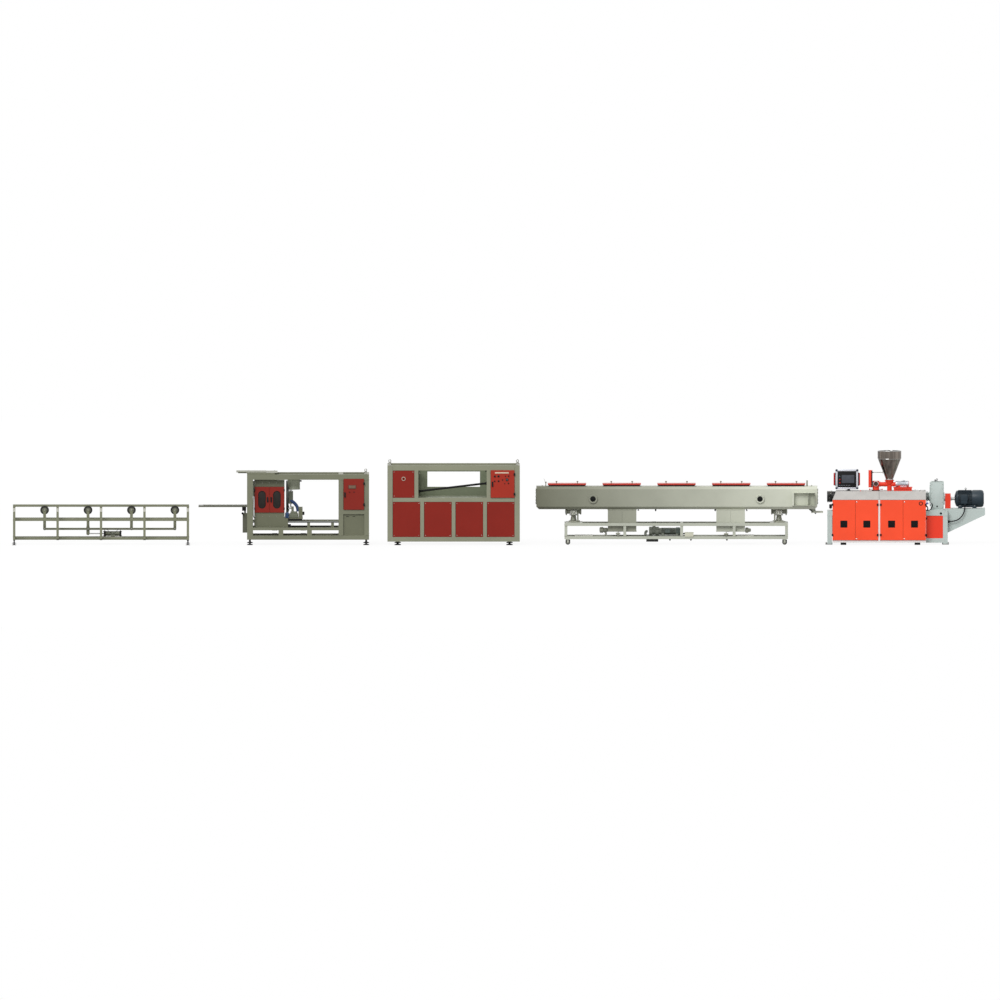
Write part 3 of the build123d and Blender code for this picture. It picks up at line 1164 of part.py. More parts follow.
# Feeder: the dosing tube through the neck, its vent body, and the small drive on its tray
vent_x = hopper_x - vent_spacing
tray_left = hopper_x + drive_tray_start
drive_left = tray_left + 40
with BuildPart() as extruder_feeder:
    span_bar((vent_x, 0, feeder_axis_z), (drive_left + 20, 0, feeder_axis_z), dosing_tube_radius)
    span_bar((vent_x, 0, hood_top + vent_flange), (vent_x, 0, vent_top), vent_radius)
    span_bar((vent_x, 0, hood_top), (vent_x, 0, hood_top + vent_flange), vent_flange_radius)
    span_bar((vent_x, -sight_port_reach, sight_port_z), (vent_x, 0, sight_port_z), sight_port_radius)
    span_bar((vent_x, -sight_port_reach - 1, sight_port_z), (vent_x, 30 - sight_port_reach, sight_port_z),
             sight_port_radius - 17, Mode.SUBTRACT)
    block(tray_left, tray_left + drive_tray_length, -drive_tray_half_depth, drive_tray_half_depth,
          hood_top, drive_tray_top)
    span_bar((drive_left, 0, drive_motor_z), (drive_left + drive_motor_length, 0, drive_motor_z),
             drive_motor_radius)
    block(drive_left + 60, drive_left + 240, -50, 50, drive_tray_top, drive_tray_top + 44)
    span_bar((hopper_x, 0, hood_top - 1), (hopper_x, 0, feeder_axis_z),
             feeder_neck_radius + seat_gap, Mode.SUBTRACT)
    with Locations((hopper_x, 0, (feeder_axis_z + hopper_outlet_z) / 2)):
        Cone(60 + seat_gap, 95 + seat_gap, hopper_outlet_z - feeder_axis_z, mode=Mode.SUBTRACT)
extruder_feeder.part.label = "extruder_feeder"
export_step(extruder_feeder.part, "parts/extruder_feeder.step")

# Belt guard of the feeder, with the tie rod to the hopper
belt_guard_right = vent_x - belt_guard_gap
with BuildPart() as extruder_belt_guard:
    block(belt_guard_right - belt_guard_width, belt_guard_right, -90, 90, belt_guard_bottom, belt_guard_top)
    span_bar((belt_guard_right, 0, tie_rod_z), (hopper_x - tie_rod_gap, 0, tie_rod_z), 8)
extruder_belt_guard.part.label = "extruder_belt_guard"
export_step(extruder_belt_guard.part, "parts/extruder_belt_guard.step")

# Control box on its swivel neck
control_left = cabinet_left + control_inset
control_neck_x = control_left + control_neck_inset
with BuildPart() as extruder_control_box:
    block(control_left, control_left + control_width, -control_depth / 2, control_depth / 2,
          control_bottom, control_bottom + control_height)
    span_bar((control_neck_x, 0, hood_top + seat_gap), (control_neck_x, 0, control_bottom),
             control_neck_radius)
extruder_control_box.part.label = "extruder_control_box"
export_step(extruder_control_box.part, "parts/extruder_control_box.step")
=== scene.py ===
from math import cos, pi, radians, sin

import bpy
import numpy as np
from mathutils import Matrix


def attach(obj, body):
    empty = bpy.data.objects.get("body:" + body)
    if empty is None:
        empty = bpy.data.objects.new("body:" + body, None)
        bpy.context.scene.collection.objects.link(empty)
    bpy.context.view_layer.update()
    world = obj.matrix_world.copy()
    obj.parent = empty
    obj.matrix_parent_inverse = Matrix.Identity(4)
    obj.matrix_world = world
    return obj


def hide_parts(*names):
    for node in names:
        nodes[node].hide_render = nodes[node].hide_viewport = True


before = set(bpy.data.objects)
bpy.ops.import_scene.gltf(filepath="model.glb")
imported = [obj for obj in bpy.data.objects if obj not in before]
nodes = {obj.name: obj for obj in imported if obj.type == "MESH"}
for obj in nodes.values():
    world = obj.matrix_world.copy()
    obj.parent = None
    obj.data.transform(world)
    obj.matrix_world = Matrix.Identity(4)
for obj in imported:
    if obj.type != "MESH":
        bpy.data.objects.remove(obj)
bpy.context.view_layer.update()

# Stacker frame. Welded square steel tube, sprayed with grey-green shop enamel after welding.
# The sloping arms carry pale wear strips, and the corner posts stand on black levelling feet.
X, Y, Z = np.eye(3)


def linear(colour):
    """A paint colour read off a colour card, 0 to 255 in sRGB, as the linear values a shader takes."""
    share = np.array(colour) / 255
    curve = np.where(share <= 0.04045, share / 12.92, ((share + 0.055) / 1.055) ** 2.4)
    return (*curve.tolist(), 1.0)


def shade_of(tone, factor, lift=0.0):
    """A linear colour made darker or lighter by a factor, then lifted, and held at 1 or below."""
    return (*np.minimum(np.array(tone[:3]) * factor + lift, 1).tolist(), 1.0)


def wire(tree, kind, inputs=(), **settings):
    """Add a node, set its properties, then link each input that is a socket and set the others."""
    node = tree.nodes.new("ShaderNode" + kind)
    for key, value in settings.items():
        setattr(node, key, value)
    for key, value in dict(inputs).items():
        if isinstance(value, bpy.types.NodeSocket):
            tree.links.new(value, node.inputs[key])
        else:
            node.inputs[key].default_value = value
    return node


def object_place(tree):
    """The object's own coordinates."""
    return wire(tree, "TexCoord").outputs["Object"]


def noise(tree, vector, scale, detail, roughness=0.5):
    """Fractal noise from 0 to 1."""
    return wire(tree, "TexNoise", {"Vector": vector, "Scale": scale, "Detail": detail,
                                   "Roughness": roughness}).outputs["Fac"]


def calculate(tree, operation, first, second, clamp=False):
    """One step of arithmetic on two values, each a number or a socket."""
    return wire(tree, "Math", {0: first, 1: second}, operation=operation, use_clamp=clamp).outputs[0]


def scaled(tree, value, low=0.0, high=1.0, start=0.0, stop=1.0):
    """Carry a value that runs from start to stop on to the range from low to high."""
    return wire(tree, "MapRange", {"Value": value, "From Min": start, "From Max": stop,
                                   "To Min": low, "To Max": high}).outputs[0]


def blend_colour(tree, share, first, second, mode="MIX"):
    """Mix two colours, each a value or a socket, by a share from 0 to 1."""
    return wire(tree, "Mix", {0: share, 6: first, 7: second}, data_type="RGBA", blend_type=mode).outputs[2]


def new_group(name, inputs, outputs):
    """Start a shader node group with named float inputs and named outputs."""
    tree = bpy.data.node_groups.new(name, "ShaderNodeTree")
    for label, value in inputs.items():
        tree.interface.new_socket(label, in_out="INPUT", socket_type="NodeSocketFloat").default_value = value
    for label, kind in outputs.items():
        tree.interface.new_socket(label, in_out="OUTPUT", socket_type=kind)
    return tree, tree.nodes.new("NodeGroupInput").outputs, tree.nodes.new("NodeGroupOutput").inputs


# Edge wear: where the normal of a rounded edge leaves the face's own normal, broken up by noise.
edge_wear, given, result = new_group("edge_wear", {"Width": 0.004, "Scale": 30.0},
                                     {"Mask": "NodeSocketFloat", "Normal": "NodeSocketVector"})
rounding = wire(edge_wear, "Bevel", {"Radius": given["Width"]}, samples=4)
facing = wire(edge_wear, "NewGeometry").outputs["Normal"]
agreement = wire(edge_wear, "VectorMath", {0: rounding.outputs[0], 1: facing}, operation="DOT_PRODUCT")
edge = scaled(edge_wear, agreement.outputs["Value"], start=0.99, stop=0.86)
chips = noise(edge_wear, object_place(edge_wear), given["Scale"], 6.0, 0.7)
broken = scaled(edge_wear, chips, start=0.45, stop=0.62)
edge_wear.links.new(calculate(edge_wear, "MULTIPLY", edge, broken), result["Mask"])
edge_wear.links.new(rounding.outputs[0], result["Normal"])

# Settled dust: the upward part of the normal, squared, times a slow noise.
settled_dust, given, result = new_group("settled_dust", {"Scale": 4.0}, {"Mask": "NodeSocketFloat"})
facing = wire(settled_dust, "NewGeometry").outputs["Normal"]
upward = wire(settled_dust, "SeparateXYZ", {0: facing}).outputs["Z"]
level = calculate(settled_dust, "POWER", upward, 2.0, clamp=True)
above = calculate(settled_dust, "GREATER_THAN", upward, 0.0)
drift = noise(settled_dust, object_place(settled_dust), given["Scale"], 5.0, 0.65)
patchy = scaled(settled_dust, drift, start=0.3, stop=0.7)
lying = calculate(settled_dust, "MULTIPLY", level, above)
settled_dust.links.new(calculate(settled_dust, "MULTIPLY", lying, patchy), result["Mask"])

# Spray texture: fine orange peel as a height, and slow clouds of thicker and thinner paint.
spray_texture, given, result = new_group("spray_texture", {"Peel Scale": 260.0, "Cloud Scale": 1.6},
                                         {"Height": "NodeSocketFloat", "Cloud": "NodeSocketFloat"})
place = object_place(spray_texture)
spray_texture.links.new(noise(spray_texture, place, given["Peel Scale"], 2.0), result["Height"])
spray_texture.links.new(noise(spray_texture, place, given["Cloud Scale"], 4.0, 0.55), result["Cloud"])


def new_material(name):
    """Start a material and return it, its node tree and its Principled shader."""
    material = bpy.data.materials.new(name)
    material.use_nodes = True
    return material, material.node_tree, material.node_tree.nodes["Principled BSDF"]


def enamel(name, colour, roughness=0.4, wear=0.5, dust=0.3, peel=0.05, below=None):
    """Sprayed enamel: clouds of tone, worn edges, dust on top faces and orange peel as a bump.
    Below a height, if one is given, the surface is the bare stuff of another colour."""
    material, tree, shader = new_material(name)
    spray, edges, dusty = (wire(tree, "Group", node_tree=group).outputs
                           for group in (spray_texture, edge_wear, settled_dust))
    tone = linear(colour)
    shade = blend_colour(tree, spray["Cloud"], shade_of(tone, 0.86), shade_of(tone, 1.12))
    if below:
        height, bare = below
        rise = wire(tree, "SeparateXYZ", {0: object_place(tree)}).outputs["Z"]
        shade = blend_colour(tree, calculate(tree, "LESS_THAN", rise, height), shade, linear(bare))
    shade = blend_colour(tree, scaled(tree, edges["Mask"], 0.0, wear), shade, shade_of(tone, 0.45, 0.02))
    shade = blend_colour(tree, scaled(tree, dusty["Mask"], 0.0, dust), shade, linear((176, 172, 160)))
    tree.links.new(shade, shader.inputs["Base Color"])
    tree.links.new(scaled(tree, spray["Cloud"], roughness - 0.08, roughness + 0.12),
                   shader.inputs["Roughness"])
    bump = wire(tree, "Bump", {"Height": spray["Height"], "Strength": peel, "Distance": 0.0006,
                               "Normal": edges["Normal"]})
    tree.links.new(bump.outputs[0], shader.inputs["Normal"])
    shader.inputs["Specular IOR Level"].default_value = 0.22
    shader.inputs["Coat Weight"].default_value = 0.04
    shader.inputs["Coat Roughness"].default_value = 0.2
    return material


def dress(material, *names):
    """Give CAD nodes their material in place of the plain one they came with."""
    for name in names:
        nodes[name].data.materials.clear()
        nodes[name].data.materials.append(material)


def solid(rings, closed=False):
    """Join a stack of rings, an array of (ring, point, xyz), by quads from ring to ring and round each.
    A closed stack joins its last ring to its first, an open one gets a face over each end. The faces are
    turned round where the volume, the sum of a . (b x c) over their triangles, comes out below zero."""
    rings = np.asarray(rings, float)
    count, points = rings.shape[:2]
    ring = np.arange(count if closed else count - 1)[:, None]
    point = np.arange(points)[None, :]
    after, beside = (ring + 1) % count, (point + 1) % points
    quads = np.stack(np.broadcast_arrays(ring * points + point, ring * points + beside,
                                         after * points + beside, after * points + point), -1).reshape(-1, 4)
    corners = rings.reshape(-1, 3)
    local = corners - corners.mean(0)
    a, b, c, d = (local[quads[:, index]] for index in range(4))
    volume = (np.cross(b, c) * a).sum() + (np.cross(c, d) * a).sum()
    caps = np.zeros((0, points), int)
    if not closed:
        caps = np.array([np.arange(points)[::-1], (count - 1) * points + np.arange(points)])
        for cap in caps:
            rim = local[cap]
            volume += (np.cross(rim, np.roll(rim, -1, 0)) * rim.mean(0)).sum()
    if volume < 0:
        quads, caps = quads[:, ::-1], caps[:, ::-1]
    return corners, quads, caps


def flat(skins):
    """The skins in a list that may also hold lists of skins."""
    for skin in skins:
        if isinstance(skin, tuple):
            yield skin
        else:
            yield from flat(skin)


def build(name, skins, material, body="root", replaces=()):
    """Put skins into one mesh, shaded smooth up to 38 degrees, and let it ride on its body."""
    corners, faces, start = [], [], 0
    for points, quads, caps in flat(skins):
        corners.append(points)
        faces += (quads + start).tolist() + (caps + start).tolist()
        start += len(points)
    mesh = bpy.data.meshes.new(name)
    mesh.from_pydata(np.concatenate(corners).tolist(), [], faces)
    mesh.shade_smooth()
    mesh.set_sharp_from_angle(angle=radians(38))
    mesh.materials.append(material)
    piece = bpy.data.objects.new(name, mesh)
    bpy.context.scene.collection.objects.link(piece)
    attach(piece, body)
    if replaces:
        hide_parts(*replaces)


def across(direction):
    """Two unit vectors square to a direction and to each other, and the direction itself as a unit."""
    w = np.asarray(direction, float)
    w = w / np.linalg.norm(w)
    u = np.cross(Z if abs(w[2]) < 0.9 else X, w)
    u = u / np.linalg.norm(u)
    return u, np.cross(w, u), w


def around(count, radius, phase=0.0):
    """Places round a circle: the pairs (r cos a, r sin a) for evenly spaced angles a."""
    return [(radius * cos(a), radius * sin(a)) for a in phase + np.arange(count) * 2 * pi / count]


def turned(centre, axis, profile, count=28, closed=False):
    """A lathe shape: row (r, s) of the profile at angle t is centre + s w + r cos t u + r sin t v,
    with w along the axis and u, v square to it. A closed profile makes a ring."""
    u, v, w = across(axis)
    r, s = np.array(profile, float).T[:, :, None, None]
    t = np.linspace(0, 2 * pi, count, endpoint=False)[None, :, None]
    return solid(np.array(centre) + s * w + r * (np.cos(t) * u + np.sin(t) * v), closed)


def hexes(centres, axis, width, height):
    """Bolt heads or nuts: a six-sided lathe shape of a width across corners, with its top edge drawn in."""
    r = width / 2
    return [turned(centre, axis, [(r, 0), (r, height * 0.75), (r * 0.82, height)], 6) for centre in centres]


def outline(half_u, half_v, r, steps):
    """A rectangle with quarter circles of radius r for corners: the points +-(half - r) + r (cos t, sin t),
    as their u, their v and the angles t."""
    t = (np.arange(4)[:, None] * pi / 2 + np.linspace(0, pi / 2, steps)).ravel()
    quarter = np.repeat(np.arange(4), steps)
    return (np.array([1, -1, -1, 1])[quarter] * (half_u - r) + r * np.cos(t),
            np.array([1, 1, -1, -1])[quarter] * (half_v - r) + r * np.sin(t), t)


def slab(low, high, corner, axis=Z, end=None, steps=4):
    """A block with rounded corners along an axis: at depth q (1 - sin a) from an end, its outline is drawn
    in by q (1 - cos a)."""
    low, high = np.array(low, float), np.array(high, float)
    q = corner * 0.6 if end is None else end
    middle, half = (low + high) / 2, (high - low) / 2
    u, v, w = np.roll(np.eye(3), -int(np.argmax(axis)) - 1, 0)
    a = np.linspace(pi / 2, 0, 4)
    depth, inset = q * (1 - np.sin(a)), q * (1 - np.cos(a))
    s = np.concatenate([depth - half @ w, half @ w - depth[::-1]])[:, None, None]
    e = np.concatenate([inset, inset[::-1]])[:, None]
    p, o, _ = outline(half @ u - e, half @ v - e, np.maximum(corner - e, corner * 0.15), steps + 1)
    return solid(middle + s * w + p[:, :, None] * u + o[:, :, None] * v)


def bar(start, end, width, height, corner=0.002):
    """A straight bar: a rounded rectangle of a width and a height, carried from one point to another."""
    u, v, w = across(np.subtract(end, start))
    p, o, _ = outline(width / 2, height / 2, corner, 3)
    section = p[:, None] * u + o[:, None] * v
    return solid([np.array(start) + section, np.array(end) + section])


def welds(centre, axis, half_u, half_v, bead=0.004):
    """A weld bead round a tube's joint: a small circle carried round a rounded rectangle, in and out by a
    twelfth of its radius at each ripple."""
    u, v, w = across(axis)
    p, o, t = outline(half_u, half_v, 0.006, 6)
    middle = np.array(centre) + p[:, None] * u + o[:, None] * v
    outward = np.cos(t)[:, None] * u + np.sin(t)[:, None] * v
    a = np.linspace(0, 2 * pi, 6, endpoint=False)[None, :, None]
    size = bead * (1 + 0.12 * np.cos(9 * t))[:, None, None]
    return solid(middle[:, None] + size * (np.cos(a) * outward[:, None] + np.sin(a) * w), closed=True)


black_steel = (34, 35, 34)
stacker_green = enamel("stacker_enamel", (124, 126, 105), below=(0.069, black_steel))
dress(stacker_green, "stacker_frame", "stacker_link_bar", *(f"stacker_arm_{i}" for i in range(1, 5)))
stacker_xs = [-10.171 + 0.912 * i for i in range(5)]
stacker_ends = (stacker_xs[0], stacker_xs[-1])
front_y, rear_y, shaft_z = -0.555, 0.255, 0.52
build("stacker_wear_strips",
      [bar((x, front_y - 0.015, 0.7025), (x, rear_y - 0.03, 0.7455), 0.036, 0.005) for x in stacker_xs],
      enamel("wear_strip", (176, 176, 164), roughness=0.5, wear=0.2))
rail_joints = [(x, y, z) for x in stacker_xs for y in (-rear_y, rear_y) for z in (shaft_z - 0.025, 0.15)]
post_joints = [(x, y, z) for y, z in ((rear_y, 0.768), (front_y, 0.186)) for x in stacker_xs]
build("stacker_welds", [welds(joint, Z, 0.026, 0.026) for joint in rail_joints + post_joints],
      stacker_green)
black_zinc = enamel("black_zinc", black_steel, roughness=0.35, wear=0.3)
build("stacker_foot_nuts", [
    [turned((x, front_y, 0.02), Z, [(0.0135, 0), (0.0135, 0.088)], 16) for x in stacker_ends],
    hexes([(x, front_y, 0.09) for x in stacker_ends], Z, 0.042, 0.018),
    hexes([(x, rear_y, 0.052) for x in stacker_ends], Z, 0.042, 0.016)], black_zinc)

# Stacker wheels. A moulded rubber tyre on a pressed hub with five bolts, running on the arm's axle,
# with nuts and washers on the shaft, the axle and the link pin.


def moulded(name, colour, roughness=0.6, grain=300.0, bump=0.08):
    """Moulded rubber or plastic: an even colour with faint scuffs and a fine pebble grain."""
    material, tree, shader = new_material(name)
    place = object_place(tree)
    pebble = wire(tree, "TexVoronoi", {"Vector": place, "Scale": grain}).outputs["Distance"]
    scuff = noise(tree, place, 14.0, 6.0)
    tone = linear(colour)
    shade = blend_colour(tree, scuff, shade_of(tone, 0.75), shade_of(tone, 1.25, 0.004))
    tree.links.new(shade, shader.inputs["Base Color"])
    tree.links.new(scaled(tree, scuff, roughness - 0.12, roughness + 0.12), shader.inputs["Roughness"])
    relief = wire(tree, "Bump", {"Height": pebble, "Strength": bump, "Distance": 0.0008})
    tree.links.new(relief.outputs[0], shader.inputs["Normal"])
    shader.inputs["Specular IOR Level"].default_value = 0.16
    return material


def worked_metal(name, colour, roughness=0.3, stretch=(1.0, 1.0, 1.0), scale=120.0, metallic=1.0):
    """Bare metal: fine grain drawn out along the direction with the least scale, and soft smudges."""
    material, tree, shader = new_material(name)
    place = object_place(tree)
    drawn = wire(tree, "Mapping", {"Vector": place, "Scale": stretch}).outputs[0]
    grain = noise(tree, drawn, scale, 3.0)
    tone = linear(colour)
    shade = blend_colour(tree, noise(tree, place, 5.0, 5.0), shade_of(tone, 0.8), shade_of(tone, 1.15))
    tree.links.new(shade, shader.inputs["Base Color"])
    tree.links.new(scaled(tree, grain, roughness * 0.7, roughness * 1.5), shader.inputs["Roughness"])
    relief = wire(tree, "Bump", {"Height": grain, "Strength": 0.05, "Distance": 0.0005})
    tree.links.new(relief.outputs[0], shader.inputs["Normal"])
    shader.inputs["Metallic"].default_value = metallic
    return material


tyre_black = moulded("tyre_black", (46, 46, 44))
hub_grey = enamel("hub_grey", (104, 106, 94), roughness=0.45, wear=0.7)
zinc = worked_metal("zinc_plate", (170, 170, 164), roughness=0.32)
tyre_outline = [(0.060, -0.020), (0.078, -0.024), (0.087, -0.023), (0.0918, -0.017), (0.092, 0),
                (0.0918, 0.017), (0.087, 0.023), (0.078, 0.024), (0.060, 0.020)]
hub_outline = [(0.0121, -0.024), (0.024, -0.024), (0.028, -0.012), (0.050, -0.009), (0.0605, -0.021),
               (0.0605, 0.021), (0.050, 0.009), (0.028, 0.012), (0.024, 0.024), (0.0121, 0.024)]
axle_z = 0.713
for i in range(1, 5):
    x = -9.5326 + 0.912 * (i - 1)
    axle, wheel = (x, 0, axle_z), f"stacker_wheel_{i}"
    build(f"stacker_tyre_{i}", [turned(axle, Y, tyre_outline, 48, closed=True)], tyre_black,
          wheel, replaces=[wheel])
    build(f"stacker_hub_{i}", [turned(axle, Y, hub_outline, 36, closed=True)], hub_grey,
          wheel)
    bolts = [hexes([(x + p, side * 0.0095, axle_z + o)], side * Y, 0.011, 0.005)
             for p, o in around(5, 0.040) for side in (-1, 1)]
    build(f"stacker_hub_bolts_{i}", bolts, zinc, wheel)
    nuts = [hexes([(x, side * 0.042, z)], side * Y, width, 0.014)
            for z, width in ((axle_z, 0.034), (shaft_z, 0.046)) for side in (-1, 1)]
    nuts += hexes([(x, -0.080, 0.32)], -Y, 0.030, 0.008)
    build(f"stacker_arm_nuts_{i}", nuts, zinc, f"stacker_arm_{i}")

# Air cylinder. A drawn aluminium barrel between square end blocks, held by four tie rods, with its
# air fittings on top and two air lines to a small valve on the tray.


def strand(points, radius, count=10, steps=10, ripples=0, depth=0.0):
    """A hose or rod along a smooth path: Catmull-Rom spans through the points, p = half the sum of the four
    neighbours' weights, and a circle whose radius swells as 1 + depth cos(ripple) along it."""
    p = np.array(points, float)
    p = np.concatenate([2 * p[:1] - p[1:2], p, 2 * p[-1:] - p[-2:-1]])
    t = np.linspace(0, 1, steps, endpoint=False)[None, :, None]
    a, b, c, d = (p[k:len(p) - 3 + k][:, None] for k in range(4))
    path = 0.5 * (2 * b + (c - a) * t + (2 * a - 5 * b + 4 * c - d) * t**2 + (3 * b - a - 3 * c + d) * t**3)
    path = np.concatenate([path.reshape(-1, 3), p[-2:-1]])
    along = np.gradient(path, axis=0)
    along /= np.linalg.norm(along, axis=1)[:, None]
    u = np.cross(Y, along)
    u /= np.linalg.norm(u, axis=1)[:, None]
    v = np.cross(along, u)
    angle = np.linspace(0, 2 * pi, count, endpoint=False)[None, :, None]
    swell = radius * (1 + depth * np.cos(2 * pi * ripples * np.linspace(0, 1, len(path))))[:, None, None]
    return solid(path[:, None] + swell * (np.cos(angle) * u[:, None] + np.sin(angle) * v[:, None]))


barrel_grey = worked_metal("barrel_grey", (116, 118, 104), roughness=0.4, stretch=(0.05, 1, 1), metallic=0.6)
chrome = worked_metal("chrome_rod_metal", (205, 206, 205), roughness=0.12)
dress(enamel("cylinder_metal", (112, 114, 98), roughness=0.38, below=(0.16, (150, 148, 134))),
      "stacker_cylinder")
dress(chrome, "stacker_piston_rod")
head_x, tail_x, rod_z = -8.29, -7.92, 0.22
build("stacker_cylinder_barrel", [turned((head_x + 0.04, 0, rod_z), X, [(0.0515, 0), (0.0515, 0.29)], 40)],
      barrel_grey)
build("stacker_cylinder_ends", [slab((x, -0.0545, 0.1665), (x + 0.042, 0.0545, 0.2745), 0.006)
                                for x in (head_x - 0.001, tail_x - 0.041)], black_zinc)
tie_places = [(y, rod_z + z) for y in (-0.043, 0.043) for z in (-0.043, 0.043)]
tie_rods = [turned((head_x - 0.012, y, z), X, [(0.004, 0), (0.004, 0.394)], 12) for y, z in tie_places]
tie_rods += [hexes([(x, y, z)], way * X, 0.016, 0.007)
             for y, z in tie_places for x, way in ((head_x - 0.001, -1), (tail_x + 0.001, 1))]
build("stacker_tie_rods", tie_rods, zinc)
air_black = moulded("air_line_black", (30, 30, 32), roughness=0.45)
fitting_xs = (head_x + 0.02, tail_x - 0.02)
build("stacker_air_lines", [
    strand([(x, 0, 0.27), (x, -0.01, 0.31), (x + 0.03 * way, -0.06, 0.325),
            (x + 0.10 * way, -0.13, 0.26), (-8.10 + 0.02 * way, -0.16, 0.20)], 0.0045)
    for x, way in zip(fitting_xs, (1, -1))], air_black)
valve = [slab((-8.14, -0.185, 0.158), (-8.06, -0.135, 0.205), 0.004)]
valve += [turned((x, 0, 0.268), Z, [(0.009, 0), (0.009, 0.012), (0.006, 0.016)], 12) for x in fitting_xs]
build("stacker_air_valve", valve, barrel_grey)

# Cutter frame. Heavy square tube in a darker grey-green enamel, with the folded column sheets and the saw
# carriage painted darker still as painted shade, on levelling feet with rubber pads; the saw carriage's rails
# are ground steel bars with stops and a black cable chain.
cutter_green = enamel("cutter_enamel", (118, 120, 101), below=(0.112, black_steel))
dress(cutter_green, "cutter_frame", "cutter_top_plate")
# The column cabinet and the saw carriage take a darker copy of the cutter green: painted shade for the shade
# they stand in.
dress(enamel("cutter_enamel_painted_shade", (104, 106, 87), wear=0.35), "cutter_cabinet", "cutter_carriage")
dress(enamel("tray_metal", (96, 97, 84), roughness=0.38, wear=0.7), "cutter_outfeed_tray")
dress(enamel("saw_grey", (86, 90, 78), roughness=0.42), "cutter_saw_head")
ground_steel = worked_metal("ground_steel", (128, 130, 126), roughness=0.22, stretch=(0.02, 1, 1))
rubber = moulded("black_rubber_part", (24, 25, 25))
build("cutter_rail_bars", [bar((-5.155, y, 0.480), (-3.27, y, 0.480), 0.006, 0.034)
                           for y in (-0.3325, 0.3325)], ground_steel)
build("cutter_rail_stops", [slab((x, y - 0.03, 0.50), (x + 0.03, y + 0.03, 0.545), 0.006)
                            for x in (-5.26, -3.30) for y in (-0.3, 0.3)], rubber)
cutter_feet = [(x, y) for x in (-5.221, -2.779) for y in (-0.49, 0.49)]
pad_profile = [(0.0615, 0.0), (0.0625, 0.007), (0.055, 0.016), (0.030, 0.024), (0.020, 0.034), (0.018, 0.05)]
build("cutter_foot_pads", [[turned((x, y, 0.0), Z, pad_profile, 28) for x, y in cutter_feet],
                           hexes([(x, y, 0.093) for x, y in cutter_feet], Z, 0.05, 0.018)],
      rubber)
joint_rows = (((-3.31, -2.769), (1.372, 0.201)), ((-4.701, -4.102), (0.201, 0.310)))
cutter_joints = [(x, side * 0.50, z) for xs, zs in joint_rows for x in xs for side in (-1, 1) for z in zs]
build("cutter_welds", [welds(joint, Z, 0.051, 0.051) for joint in cutter_joints],
      cutter_green)
build("cutter_cable_chain", [slab((x, 0.10, 0.335), (x + 0.028, 0.17, 0.375), 0.005)
                             for x in np.arange(-4.85, -3.40, 0.034)], rubber)


def eye_bolt(x, y, z, size=0.022):
    """A lifting eye: a ring of round bar standing on a collar and a short shank."""
    ring = [(size + p, o) for p, o in around(10, size * 0.32)]
    collar = [(size * 0.95, 0), (size * 0.95, size * 0.4), (size * 0.5, size * 0.6), (size * 0.45, size)]
    return [turned((x, y, z + 2.1 * size), Y, ring, 24, closed=True), turned((x, y, z), Z, collar, 20)]


build("cutter_eye_bolts", [eye_bolt(-2.789, y, 1.487) for y in (-0.5, 0.5)], zinc)

# Saw carriage. Folded sheet on four slide blocks, with two red guard doors that have long oval panes
# in rubber beads, black hinges and flush black handles.
door_red = enamel("door_red_enamel", (129, 33, 22), roughness=0.36, wear=0.35, dust=0.15)
dress(door_red, "cutter_guard_door_left", "cutter_guard_door_right", "cutter_cabinet_door")
pane_dark = moulded("smoked_pane", (40, 37, 34), roughness=0.16, grain=40.0, bump=0.01)
black_plastic = moulded("black_plastic", (22, 22, 24), roughness=0.4)


def hinge_cover(x, front, z, tall=0.052, half=0.017):
    """A cast door hinge: two rounded leaves, in one block, round the door's hinge barrel."""
    return slab((x - half, front - 0.016, z - tall / 2), (x + half, front + 0.012, z + tall / 2), 0.008)


def flush_handle(x, front, z):
    """A swing handle in its oval plate, with a key barrel at the top."""
    plate = slab((x - 0.016, front - 0.016, z - 0.055), (x + 0.016, front + 0.001, z + 0.055),
                 0.012, Y, 0.004)
    lever = slab((x - 0.009, front - 0.024, z - 0.045), (x + 0.009, front - 0.012, z + 0.018),
                 0.007, Y, 0.004)
    return [plate, lever, turned((x, front - 0.021, z + 0.036), Y, [(0.008, 0), (0.008, 0.012)], 16)]


def oval(x, y, z, width, height, bead):
    """A rubber bead round an oval: a small circle carried round two half circles and two straights."""
    t = np.linspace(0, 2 * pi, 40, endpoint=False)
    r = width / 2
    middle = np.stack([x + r * np.cos(t), np.full(40, y),
                       z + np.sign(np.sin(t)) * (height / 2 - r) + r * np.sin(t)], 1)
    outward = np.stack([np.cos(t), np.zeros(40), np.sin(t)], 1)[:, None]
    a = np.linspace(0, 2 * pi, 8, endpoint=False)[None, :, None]
    return solid(middle[:, None] + bead * (np.cos(a) * outward + np.sin(a) * Y), closed=True)


guard_front, pane_z = -0.4433, 0.95
for side, hinge_x, free_x in (("left", -5.122, -4.8135), ("right", -4.500, -4.8095)):
    door = f"cutter_guard_door_{side}"
    middle = (hinge_x + free_x) / 2
    build(f"guard_pane_{side}", [slab((middle - 0.073, guard_front + 0.006, pane_z - 0.178),
                                      (middle + 0.073, guard_front + 0.0125, pane_z + 0.178),
                                      0.072, Y, 0.001, steps=8)], pane_dark, door)
    build(f"guard_bead_{side}", [oval(middle, guard_front, pane_z, 0.150, 0.359, 0.006)],
          rubber, door)
    handle_x = free_x + 0.035 * np.sign(hinge_x - free_x)
    covers = [hinge_cover(hinge_x, guard_front, z, half=0.0125) for z in (0.76, 1.15)]
    build(f"guard_fittings_{side}", [covers, flush_handle(handle_x, guard_front, pane_z)],
          black_plastic, door)
carriage, carriage_front = "cutter_carriage", -0.4265
seams = [bar((-5.13, carriage_front, z), (-4.494, carriage_front, z), 0.006, 0.004) for z in (0.665, 1.235)]
seams += [bar((x, carriage_front, 0.665), (x, carriage_front, 1.235), 0.006, 0.004)
          for x in (-5.1285, -4.4955)]
build("carriage_door_frame", seams, cutter_green, carriage)
